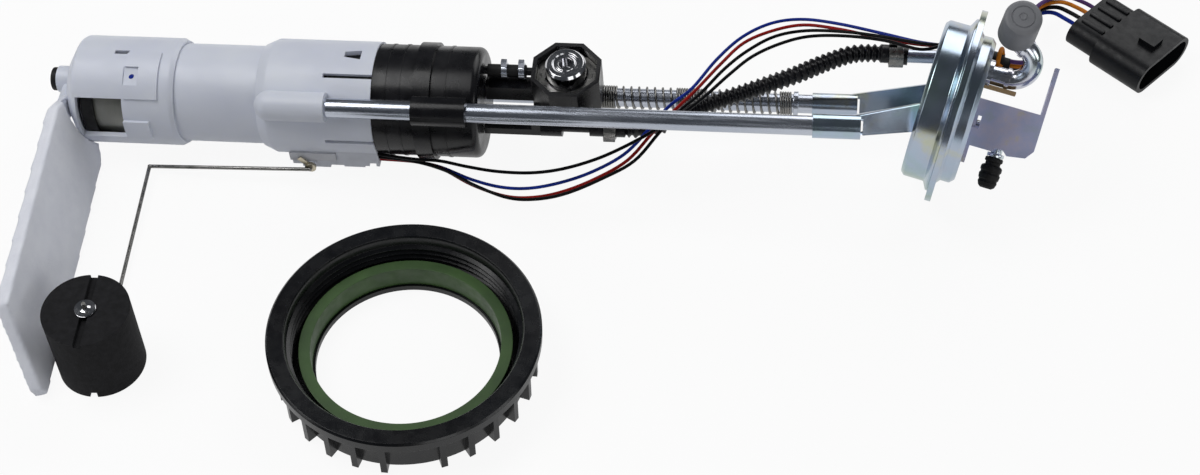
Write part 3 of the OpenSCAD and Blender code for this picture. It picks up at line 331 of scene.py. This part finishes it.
def cut_foam():
    f = Finish("black foam", (0.009, 0.009, 0.010), 0.85)
    f.colours(f.noise(400, 5), [(0.3, (0.004, 0.004, 0.005)), (0.75, (0.012, 0.012, 0.014))])
    cells = f.node("ShaderNodeTexVoronoi", Scale=1500)
    f.link(f.place, cells.inputs["Vector"])
    f.bump(cells.outputs["Distance"], 0.35, 0.12)
    f.bump(f.noise(500, 4), 0.3, 0.1)
    f.shader.inputs["Specular IOR Level"].default_value = 0.3
    return f.material


def zinc_plate():
    f = Finish("zinc plating", (0.46, 0.52, 0.58), 0.28, 1.0)
    cloud = f.noise(30, 5, 0.62)
    f.colours(cloud, [
        (0.30, (0.34, 0.44, 0.38)), (0.40, (0.40, 0.52, 0.54)), (0.50, (0.44, 0.53, 0.64)),
        (0.58, (0.46, 0.52, 0.62)), (0.66, (0.52, 0.54, 0.44)), (0.76, (0.34, 0.46, 0.44)),
    ])
    f.gloss(f.noise(55, 5), 0.15, 0.27)
    f.bump(f.noise(900, 4), 0.15, 0.05)
    f.bump(f.noise(60, 3), 0.1, 0.3)
    return f.material


# Satin zinc with a lavender tint of its own, in colours lighter than the other zinc: painted light,
# for the bright reflection of the flat plate
def bracket_zinc_painted_light():
    f = Finish("satin zinc plating with painted light", (0.42, 0.46, 0.60), 0.5, 1.0)
    f.colours(f.noise(70, 5, 0.6), [
        (0.30, (0.46, 0.52, 0.62)), (0.45, (0.50, 0.53, 0.74)), (0.56, (0.58, 0.56, 0.72)),
        (0.64, (0.62, 0.58, 0.52)), (0.74, (0.46, 0.56, 0.60)),
    ])
    f.gloss(f.noise(90, 4), 0.42, 0.55)
    f.bump(f.noise(900, 4), 0.15, 0.05)
    return f.material


def zinc_tube():
    f = Finish("bright zinc tube", (0.58, 0.62, 0.66), 0.2, 1.0)
    f.colours(f.noise(70, 4), [
        (0.3, (0.48, 0.62, 0.56)), (0.5, (0.70, 0.74, 0.82)), (0.7, (0.60, 0.58, 0.62)),
    ])
    f.gloss(f.noise(120, 4), 0.12, 0.28)
    f.bump(f.noise(200, 3), 0.12, 0.12)
    return f.material


def drawn_steel():
    f = Finish("drawn steel", (0.50, 0.53, 0.60), 0.26, 1.0)
    lines = f.stretched((30, 900, 900))
    f.colours(f.noise(18, 4), [(0.3, (0.46, 0.50, 0.58)), (0.7, (0.60, 0.63, 0.70))])
    f.gloss(f.noise(1, 4, 0.6, lines), 0.2, 0.32)
    f.bump(f.noise(1, 3, 0.5, lines), 0.05, 0.02)
    return f.material


def can_steel():
    f = Finish("pump can steel", (0.26, 0.26, 0.23), 0.42, 0.9)
    lines = f.stretched((900, 40, 40))
    f.colours(f.noise(30, 4), [(0.3, (0.20, 0.20, 0.17)), (0.7, (0.33, 0.33, 0.30))])
    f.gloss(f.noise(1, 4, 0.6, lines), 0.34, 0.52)
    f.bump(f.noise(1, 3, 0.5, lines), 0.1, 0.04)
    return f.material


def polished_chrome():
    f = Finish("chrome", (0.62, 0.62, 0.64), 0.1, 1.0)
    f.colours(f.noise(60, 3), [(0.3, (0.52, 0.52, 0.54)), (0.7, (0.68, 0.68, 0.70))])
    f.gloss(f.noise(300, 4), 0.06, 0.18)
    f.bump(f.noise(150, 3), 0.05, 0.08)
    return f.material


def spring_steel():
    f = Finish("spring steel", (0.24, 0.24, 0.23), 0.32, 1.0)
    f.colours(f.noise(200, 4), [(0.3, (0.16, 0.16, 0.15)), (0.7, (0.32, 0.31, 0.30))])
    f.gloss(f.noise(600, 3), 0.22, 0.42)
    f.bump(f.noise(2500, 3), 0.15, 0.03)
    return f.material


def soft_brass():
    f = Finish("pale brass", (0.50, 0.45, 0.34), 0.3, 1.0)
    f.colours(f.noise(150, 4), [(0.3, (0.42, 0.38, 0.28)), (0.7, (0.56, 0.51, 0.40))])
    f.gloss(f.noise(500, 3), 0.22, 0.4)
    f.bump(f.noise(2500, 3), 0.1, 0.03)
    return f.material


def copper_wire():
    f = Finish("copper windings", (0.42, 0.19, 0.10), 0.35, 1.0)
    lines = f.stretched((60, 1600, 1600))
    f.colours(f.noise(1, 3, 0.5, lines), [(0.35, (0.28, 0.12, 0.07)), (0.65, (0.52, 0.25, 0.13))])
    f.bump(f.noise(1, 3, 0.5, lines), 0.5, 0.2)
    return f.material


def dark_ferrite():
    return plain_grey("ferrite", (0.05, 0.05, 0.05), 0.6)


def soft_carbon():
    return plain_grey("carbon", (0.03, 0.03, 0.03), 0.55)


def fired_ceramic():
    f = Finish("ceramic card", (0.66, 0.64, 0.58), 0.3)
    tracks = f.node("ShaderNodeTexWave", Scale=900, Distortion=0.0)
    f.link(f.place, tracks.inputs["Vector"])
    f.colours(tracks.outputs["Fac"], [(0.45, (0.40, 0.41, 0.44)), (0.55, (0.60, 0.61, 0.66))])
    f.bump(f.noise(800, 3), 0.1, 0.03)
    return f.material


def pleated_paper():
    f = Finish("filter paper", (0.60, 0.55, 0.40), 0.85)
    f.colours(f.noise(500, 5), [(0.3, (0.50, 0.45, 0.32)), (0.7, (0.66, 0.61, 0.46))])
    f.bump(f.noise(2500, 5), 0.6, 0.1)
    return f.material


def sock_felt():
    f = Finish("strainer felt", (0.74, 0.75, 0.80), 0.9)
    long_fibres = f.stretched((500, 2600, 2600), (0.2, 0.5, 0.3))
    cross_fibres = f.stretched((2600, 700, 1100), (0.9, 0.1, 1.2))
    f.colours(f.noise(70, 6, 0.65), [(0.28, (0.76, 0.78, 0.86)), (0.72, (0.88, 0.90, 0.96))])
    f.bump(f.noise(1, 4, 0.6, long_fibres), 0.5, 0.18)
    f.bump(f.noise(1, 4, 0.6, cross_fibres), 0.5, 0.14)
    f.shader.inputs["Sheen Weight"].default_value = 0.25
    f.shader.inputs["Sheen Roughness"].default_value = 0.6
    return f.material


def insulation(name, colour):
    f = Finish(name, colour, 0.32)
    f.colours(f.noise(160, 3), [(0.3, tone(colour, 0.8)), (0.7, tone(colour, 1.2))])
    f.gloss(f.noise(500, 3), 0.26, 0.42)
    f.bump(f.noise(1800, 2), 0.15, 0.03)
    f.shader.inputs["Specular IOR Level"].default_value = 0.06
    return f.material


def shadow_floor():
    """Floor with a faint shadow, which looks white behind the object and in shiny metal."""
    white_to_camera, white_to_metal = 0.92, 0.55
    f = Finish("pale floor", (0.86, 0.86, 0.86), 0.9)
    f.colours(f.noise(3, 2), [(0.3, (0.85, 0.85, 0.85)), (0.7, (0.87, 0.87, 0.87))])
    glow = f.node("ShaderNodeEmission", Strength=1.0)
    glow.inputs["Color"].default_value = (1, 1, 1, 1)
    path = f.node("ShaderNodeLightPath")
    mirrored = f.node("ShaderNodeMath")
    mirrored.operation = "MULTIPLY"
    mirrored.inputs[1].default_value = white_to_metal
    f.link(path.outputs["Is Glossy Ray"], mirrored.inputs[0])
    share = f.node("ShaderNodeMath")
    share.operation = "MULTIPLY_ADD"
    share.inputs[1].default_value = white_to_camera
    f.link(path.outputs["Is Camera Ray"], share.inputs[0])
    f.link(mirrored.outputs[0], share.inputs[2])
    blend = f.node("ShaderNodeMixShader")
    f.link(share.outputs[0], blend.inputs["Fac"])
    f.link(f.shader.outputs[0], blend.inputs[1])
    f.link(glow.outputs[0], blend.inputs[2])
    f.link(blend.outputs[0], f.tree.nodes["Material Output"].inputs["Surface"])
    return f.material


FINISHES = {
    "zinc": zinc_plate(),
    "steel": drawn_steel(),
    "can_steel": can_steel(),
    "chrome": polished_chrome(),
    "spring_steel": spring_steel(),
    "white_plastic": moulded_white(),
    "black_plastic": moulded_black(),
    # The sender's slot, in white plastic darkened by painted shade
    "grey_plastic": sender_white_painted_shade(),
    "cap_plastic": cap_grey(),
    "rubber": soft_rubber(),
    "seal_rubber": green_rubber(),
    "foam": cut_foam(),
    "felt": sock_felt(),
    "paper": pleated_paper(),
    "copper": copper_wire(),
    "brass": soft_brass(),
    "magnet": dark_ferrite(),
    "carbon": soft_carbon(),
    "ceramic": fired_ceramic(),
    "wire_blue": insulation("blue insulation", (0.010, 0.030, 0.28)),
    "wire_red": insulation("red insulation", (0.30, 0.012, 0.010)),
    "wire_black": insulation("black insulation", (0.004, 0.004, 0.005)),
    "wire_orange": insulation("orange insulation", (0.62, 0.20, 0.02)),
    "wire_violet": insulation("violet insulation", (0.10, 0.05, 0.17)),
}
GRAINED = grained_black()
SHEATH = sheath_black()
TUBE_ZINC = zinc_tube()
SLOT_OF = {part["node"]: part["material_slot"] for part in frame["record"]["subparts"]}
# Nodes that look different from the rest of their slot; the bracket's lighter zinc colours are
# painted light
SPECIAL = {
    "fuel_tube": TUBE_ZINC, "vent_tube": TUBE_ZINC,
    "lock_ring": ring_black(), "connector_shell": GRAINED, "bracket": bracket_zinc_painted_light(),
    "float_arm": FINISHES["spring_steel"],
}


def finish_of(node):
    return SPECIAL.get(node, FINISHES[SLOT_OF[node]])


# ---------------------------------------------------------------- making pieces


def only_nothing():
    bpy.ops.object.select_all(action="DESELECT")


def only(obj):
    only_nothing()
    obj.select_set(True)
    bpy.context.view_layer.objects.active = obj


def apply_modifiers(obj):
    only(obj)
    for modifier in list(obj.modifiers):
        bpy.ops.object.modifier_apply(modifier=modifier.name)


def edit(obj):
    only(obj)
    bpy.ops.object.mode_set(mode="EDIT")
    bpy.ops.mesh.select_all(action="SELECT")


def leave():
    bpy.ops.object.mode_set(mode="OBJECT")


def settle(obj, place):
    """Moves a piece to its place and leaves its object at the origin."""
    obj.matrix_world = place @ obj.matrix_world
    only(obj)
    bpy.ops.object.transform_apply(location=True, rotation=True, scale=True)


def coat(obj, material):
    obj.data.materials.clear()
    obj.data.materials.append(material)


def dress(obj, name, material, body=None, node=None, angle=35):
    """Names and coats a piece, hides the CAD node it stands for, and says what moves it."""
    obj.name = name
    coat(obj, material)
    only(obj)
    bpy.ops.object.shade_smooth_by_angle(angle=math.radians(angle))
    if node:
        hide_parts(node)
    if body:
        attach(obj, body)
    return obj


def blend_point(a, b, c, d, t):
    """Point at share t from b to c, on a smooth curve that also heeds a and d."""
    return 0.5 * (
        2 * b + (c - a) * t + (2 * a - 5 * b + 4 * c - d) * t * t
        + (3 * b - a - 3 * c + d) * t * t * t
    )


def through(points, steps):
    """Smooth line through given points."""
    p = [Vector(point) for point in points]
    line = []
    for i in range(len(p) - 1):
        before, after = p[max(i - 1, 0)], p[min(i + 2, len(p) - 1)]
        line += [blend_point(before, p[i], p[i + 1], after, k / steps) for k in range(steps)]
    return line + [p[-1]]


def placed(points, place):
    """Points in the millimetres of a frame, as places in the scene."""
    return [place @ (point * MM) for point in points]


def even(points, step):
    """The same line with points a set distance apart."""
    line, carried = [points[0]], 0.0
    for a, b in zip(points, points[1:]):
        length = (b - a).length
        at = step - carried
        while at <= length:
            line.append(a.lerp(b, at / length))
            at += step
        carried = length - (at - step)
    return line + [points[-1]]


def length_of(points):
    return sum((b - a).length for a, b in zip(points, points[1:]))


def drawn(name, points, radius, factors=None, sides=3, closed=False):
    """Round piece along a line, with its own radius at each point where factors are given."""
    data = bpy.data.curves.new(name, "CURVE")
    data.dimensions = "3D"
    data.bevel_depth = radius * MM
    data.bevel_resolution = sides
    data.use_fill_caps = not closed
    spline = data.splines.new("POLY")
    spline.points.add(len(points) - 1)
    for i, point in enumerate(points):
        spline.points[i].co = (*point, 1)
        spline.points[i].radius = factors[i] if factors else 1.0
    spline.use_cyclic_u = closed
    obj = bpy.data.objects.new(name, data)
    bpy.context.scene.collection.objects.link(obj)
    only(obj)
    bpy.ops.object.convert(target="MESH")
    return bpy.context.view_layer.objects.active


def turned(name, profile, place, steps=64):
    """Piece turned round X from a profile of (x, radius) points, drawn by extruding a point."""
    only_nothing()
    bpy.ops.mesh.primitive_plane_add(size=2 * MM)
    obj = bpy.context.view_layer.objects.active
    edit(obj)
    bpy.ops.mesh.merge(type="CENTER")
    x, r = profile[0]
    bpy.ops.transform.translate(value=(x * MM, r * MM, 0))
    for (x0, r0), (x1, r1) in zip(profile, profile[1:]):
        bpy.ops.mesh.extrude_region_move(
            TRANSFORM_OT_translate={"value": ((x1 - x0) * MM, (r1 - r0) * MM, 0)}
        )
    bpy.ops.mesh.select_all(action="SELECT")
    bpy.ops.mesh.spin(steps=steps, angle=2 * math.pi, center=(0, 0, 0), axis=(1, 0, 0))
    bpy.ops.mesh.select_all(action="SELECT")
    bpy.ops.mesh.remove_doubles(threshold=0.02 * MM)
    bpy.ops.mesh.normals_make_consistent(inside=False)
    leave()
    settle(obj, place)
    obj.name = name
    return obj


def block(name, low, high, place, rounding):
    """Box between two corners in millimetres, with rounded edges."""
    only_nothing()
    bpy.ops.mesh.primitive_cube_add(size=1)
    obj = bpy.context.view_layer.objects.active
    size, middle = Vector(high) - Vector(low), (Vector(high) + Vector(low)) / 2
    bpy.ops.transform.resize(value=tuple(size * MM))
    bpy.ops.object.transform_apply(location=False, rotation=False, scale=True)
    bevel = obj.modifiers.new("rounded edges", "BEVEL")
    bevel.width, bevel.segments = rounding * MM, 2
    apply_modifiers(obj)
    settle(obj, place @ shift(*middle))
    obj.name = name
    return obj


def copy_of(node, name):
    """Merged copy of a CAD node's mesh, as its own object."""
    obj = bpy.data.objects.new(name, frame["nodes"][node].data.copy())
    bpy.context.scene.collection.objects.link(obj)
    edit(obj)
    bpy.ops.mesh.customdata_custom_splitnormals_clear()
    bpy.ops.mesh.remove_doubles(threshold=0.002 * MM)
    bpy.ops.mesh.dissolve_limited(angle_limit=math.radians(0.4))
    leave()
    return obj


def eased(node, width):
    """Stands for a CAD node, with its sharp edges eased by up to a width in millimetres.

    The clamp cuts the width on the whole piece where its mesh has short edges. On the filter
    housing, the sender base and the fuel tube that leaves next to nothing, and on the
    regulator holder nothing.
    """
    obj = copy_of(node, node + "_piece")
    bevel = obj.modifiers.new("eased edges", "BEVEL")
    bevel.width = width * MM
    bevel.segments = 2
    bevel.limit_method = "ANGLE"
    bevel.angle_limit = math.radians(42)
    bevel.use_clamp_overlap = True
    apply_modifiers(obj)
    dress(obj, obj.name, finish_of(node), frame["nodes"][node]["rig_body"], node)
    flats = obj.modifiers.new("flat faces stay flat", "WEIGHTED_NORMAL")
    flats.keep_sharp = True
    apply_modifiers(obj)
    return obj


# ---------------------------------------------------------------- camera, light and floor


# Name, place, what it is turned to, size and power of each lamp
LAMPS = (
    ("key", (-0.55, 0.05, 0.95), (0, 0, 0), 0.6, 5.6),
    ("back", (0.35, 0.85, 0.65), (0, 0, 0), 0.8, 4.4),
    ("front", (0.5, -0.9, 0.6), (0.05, 0, 0), 0.5, 1.6),
    ("right", (0.95, -0.35, 0.45), (-0.04, -0.05, 0), 0.4, 1.2),
    ("left", (-1.0, -0.4, 0.5), (-0.04, -0.05, 0), 0.4, 1.0),
)


def set_stage():
    """Floor, camera, lamps and a faint blue sky."""
    bpy.ops.mesh.primitive_plane_add(size=12, location=(0, 0, -0.0002))
    floor = bpy.context.view_layer.objects.active
    floor.name = "floor"
    floor.data.materials.append(shadow_floor())

    camera = bpy.data.objects.new("camera", bpy.data.cameras.new("camera"))
    camera.location = (0.07707, -0.48535, 0.613)
    camera.rotation_euler = (math.radians(39.4), 0, math.radians(5.5))
    camera.data.lens = 57
    camera.data.sensor_width = 36
    camera.data.clip_start = 0.01
    bpy.context.scene.collection.objects.link(camera)
    bpy.context.scene.camera = camera

    for name, place, target, size, power in LAMPS:
        lamp = bpy.data.lights.new(name, "AREA")
        lamp.size = size
        lamp.energy = power
        obj = bpy.data.objects.new(name, lamp)
        obj.location = place
        obj.rotation_euler = (Vector(target) - Vector(place)).to_track_quat("-Z", "Y").to_euler()
        bpy.context.scene.collection.objects.link(obj)

    world = bpy.data.worlds.new("studio")
    world.use_nodes = True
    sky = world.node_tree.nodes["Background"]
    sky.inputs["Color"].default_value = (0.85, 0.91, 1.0, 1)
    sky.inputs["Strength"].default_value = 0.07
    bpy.context.scene.world = world
    bpy.context.scene.view_settings.view_transform = "Standard"


# ---------------------------------------------------------------- cords, wires and hose


def make_connector():
    """Shell of the connector, with its ribs: the pieces on the pigtail, with the pins."""
    shell = eased("connector_shell", 0.5)
    ribs = []
    for y in (-9, -3, 3, 9):
        rib = block("connector_rib", (2, y - 1.2, 5.5), (14, y + 1.2, 7.3), CONNECTOR, 0.5)
        ribs.append(dress(rib, rib.name, GRAINED, "head"))
    return [shell, frame["nodes"]["connector_pins"], *ribs]


def make_pigtail():
    """Four wires from the grommet to the connector, which lies on the floor.

    They leave the grommet one above the other, and fan out side by side to their pins.
    """
    on_the_wires = make_connector()
    upward = Vector((0, 0, 1))
    sideways = turn(CONNECTOR_YAW, "Z").to_3x3() @ Vector((0, 1, 0))
    for i, colour in enumerate(("blue", "black", "orange", "violet")):
        points = []
        for point, fan in zip(PIGTAIL_ROUTE, PIGTAIL_FAN):
            step = (1 - fan * fan) * PIGTAIL_PITCH * upward + fan * PIN_PITCH * sideways
            points.append(Vector(point) + (i - 1.5) * step)
        line = placed(through(points, 6), FOOT)
        slot = "wire_" + colour
        lead = drawn("pigtail_lead_" + colour, line, PIGTAIL_RADIUS)
        dress(lead, lead.name, FINISHES[slot], "head", "pigtail_" + colour)


def make_tank_wires():
    """Four wires from the flange to the sender's side of the pump unit."""
    for name, route, slot in (
        ("wire_blue", BLUE_ROUTE, "wire_blue"), ("wire_red", RED_ROUTE, "wire_red"),
        ("wire_black", BLACK_ROUTE, "wire_black"), ("wire_ground", GROUND_ROUTE, "wire_black"),
    ):
        line = placed(through(route, 6), MODULE)
        lead = drawn(name + "_lead", line, TANK_WIRE_RADIUS)
        dress(lead, lead.name, FINISHES[slot], None, name)
        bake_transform(lead)


def make_hose():
    """Corrugated hose with a plain cuff at each end."""
    radius, pitch = 4.0, 2.75
    crest, root, cuff = 1.0, 0.70, 0.98
    lower_cuff, upper_cuff = 15 * MM, 11 * MM
    line = even(placed(through(HOSE_CUFF + HOSE_ROUTE, 8), MODULE), 0.46 * MM)
    total = length_of(line)
    factors, run = [], 0.0
    for i, point in enumerate(line):
        run += (point - line[i - 1]).length if i else 0
        wave = 0.5 + 0.5 * math.cos(2 * math.pi * run / (pitch * MM))
        ribbed = lower_cuff < run < total - upper_cuff
        factors.append(root + (crest - root) * wave ** 1.3 if ribbed else cuff)
    hose = drawn("corrugated_hose", line, radius, factors, sides=6)
    dress(hose, hose.name, SHEATH, None, "fuel_hose", angle=60)
    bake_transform(hose)


def make_spring():
    """Coil spring on the rear rod, closed at its ends and in its middle."""
    wire_radius, coil_radius, points_a_turn = 0.48, 4.62, 14
    closed, open_ = 1.03, 3.4
    stretches = [
        (224.5, 232, closed), (232, 258, open_), (258, 271, closed), (271, 302, open_),
        (302, 307.5, closed),
    ]
    points, angle = [], 0.0
    for start, end, pitch in stretches:
        count = max(2, round((end - start) / pitch * points_a_turn))
        for k in range(count):
            x = start + (end - start) * k / count
            points.append(
                Vector((x, coil_radius * math.cos(angle), coil_radius * math.sin(angle)))
            )
            angle += 2 * math.pi / points_a_turn
    coil = drawn("rod_coil_spring", placed(points, REAR_ROD), wire_radius, sides=2)
    finish = FINISHES["spring_steel"]
    dress(coil, coil.name, finish, "head", "rod_spring", angle=70)
    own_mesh(coil)


# ---------------------------------------------------------------- strainer sock


def make_sock():
    """Felt bag with slightly uneven sides, and a pressed seam round it."""
    bag = copy_of("strainer_sock", "strainer_bag")
    remesh = bag.modifiers.new("even faces", "REMESH")
    remesh.mode = "VOXEL"
    remesh.voxel_size = 1.1 * MM
    smooth = bag.modifiers.new("soft edges", "SMOOTH")
    smooth.factor, smooth.iterations = 0.5, 3
    folds = bpy.data.textures.new("felt folds", "CLOUDS")
    folds.noise_scale = 0.03
    wave = bag.modifiers.new("uneven felt", "DISPLACE")
    wave.texture, wave.strength, wave.mid_level = folds, 0.25 * MM, 0.5
    apply_modifiers(bag)
    dress(bag, "strainer_bag", FINISHES["felt"], "pump_unit", "strainer_sock", angle=60)

    outline = [
        (0, 3), (8, -14), (14, -18.4), (136, -18.4), (136.6, -14), (118.6, 18.3), (16, 18.3),
        (5, 13),
    ]
    seam_place = SOCK @ turn(-90, "Z") @ turn(90, "X")
    corners = [Vector((along, up, 0)) for along, up in outline]
    line = even(placed(corners + [corners[0]], seam_place), 2.5 * MM)
    seam = drawn("strainer_seam", line[:-1], 0.4, sides=2, closed=True)
    dress(seam, seam.name, FINISHES["felt"], "pump_unit", angle=60)


# ---------------------------------------------------------------- caps and small parts


def make_dust_cap():
    """Dust cap on the fuel tube, with two fine grooves round its end."""
    profile = [
        (10.4, 0), (10.4, 4.1), (0.5, 4.1), (0.4, 4.4), (0.4, 7.3), (0.8, 7.7), (16.4, 7.6),
        (17.3, 7.3), (17.8, 6.6), (17.9, 6.0), (17.9, 4.9), (17.6, 4.7), (17.6, 4.4),
        (17.9, 4.2), (17.9, 1.9), (17.65, 1.7), (17.65, 1.3), (17.9, 1.1), (17.9, 0.5), (17.7, 0),
    ]
    cap = turned("dust_cap_shell", profile, OUTLET)
    dress(cap, cap.name, FINISHES["cap_plastic"], "dust_cap", "dust_cap", angle=30)


def make_float_nut():
    """Dished face of the push nut on the float's wire, over the plain CAD nut."""
    low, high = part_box("float_nut")
    place = Matrix.Translation(((low.x + high.x) / 2, (low.y + high.y) / 2, high.z))
    profile = [
        (-0.9, 4.0), (-0.5, 4.1), (-0.3, 3.6), (-0.1, 2.4), (0.6, 1.1), (0.4, 0.9), (-0.4, 2.2),
        (-0.7, 3.4), (-0.9, 4.0),
    ]
    nut = turned("float_push_nut", profile, place @ turn(-90, "Y"), steps=32)
    dress(nut, nut.name, FINISHES["chrome"], "float_arm", angle=30)


def make_vent_boot():
    """Ribbed rubber boot on the vent tube."""
    profile = [
        (10, 0), (10, 2.4), (0, 2.4), (0, 3.3), (0.5, 3.7), (1.6, 3.7), (2.1, 3.1), (3.1, 3.1),
        (3.6, 4.0), (4.2, 4.4), (5.6, 4.4), (6.1, 4.0), (6.7, 4.0), (7.2, 4.4), (9.0, 4.2),
        (9.5, 3.8), (10.0, 3.8), (10.5, 4.0), (12.2, 3.4), (13, 2.4), (13, 0),
    ]
    boot = turned("vent_boot", profile, VENT_MOUTH, steps=48)
    dress(boot, boot.name, FINISHES["rubber"], "vent_cap", "vent_cap", angle=30)


def make_flange_trim():
    """Orange lead looped out of the grommet, and the tan strip under the fuel tube."""
    loop = [
        (12.5, 21.5, -9), (11.4, 20.8, -5), (10.8, 22.5, -3), (10.6, 26, -4), (11, 28, -8),
        (12.5, 24.5, -12),
    ]
    lead = drawn("looped_lead", placed(through(loop, 8), FLANGE), PIGTAIL_RADIUS)
    dress(lead, lead.name, FINISHES["wire_orange"], "head")
    strip = block("tan_strip", (8.2, 10.4, -3.5), (21.5, 12.3, 3.5), FLANGE, 0.3)
    tan = plain_grey("tan strip", (0.50, 0.33, 0.16), 0.6)
    dress(strip, strip.name, tan, "head")


def make_ink_dab():
    """Flat blue dab of paint in the recess of the inlet cap."""
    bpy.ops.mesh.primitive_uv_sphere_add(segments=24, ring_count=12, radius=1.2 * MM)
    dab = bpy.context.view_layer.objects.active
    bpy.ops.transform.resize(value=(1.0, 0.14, 0.75))
    bpy.ops.object.transform_apply(location=False, rotation=False, scale=True)
    settle(dab, MODULE @ turn(119, "X") @ shift(33, 22.25, 0) @ turn(35, "Y"))
    dress(dab, "ink_dab", FINISHES["wire_blue"], "pump_unit")


# ---------------------------------------------------------------- the whole module

set_stage()
make_pigtail()
make_tank_wires()
make_hose()
make_spring()
make_sock()
make_dust_cap()
make_float_nut()
make_vent_boot()
make_flange_trim()
make_ink_dab()

# The other CAD nodes that show, and the most that their edges are eased by
EASED = (
    ("inlet_cap", 0.35), ("outer_sleeve", 0.35), ("filter_housing", 0.3), ("pump_barrel", 0.2),
    ("lock_ring", 0.35), ("ring_seal", 0.3), ("float", 0.4), ("flange_plate", 0.35),
    ("flange_cup", 0.35), ("bracket", 0.3), ("front_strap", 0.3), ("rear_strap", 0.3),
    ("regulator_holder", 0.3), ("regulator", 0.2), ("sender_base", 0.25),
    ("fuel_tube", 0.2), ("vent_tube", 0.2), ("front_rod", 0.2),
    ("rear_rod", 0.2), ("float_arm", 0.1), ("strainer_neck", 0.2), ("neck_plug", 0.4),
    ("cap_valve", 0.3), ("wire_grommet", 0.3), ("upper_clamp", 0.15), ("lower_clamp", 0.2),
    ("hose_nipple", 0.15), ("outlet_hose", 0.15), ("outlet_clamp", 0.15),
)
for node, width in EASED:
    eased(node, width)

# The rest are shown as they are
for node, obj in frame["nodes"].items():
    coat(obj, finish_of(node))
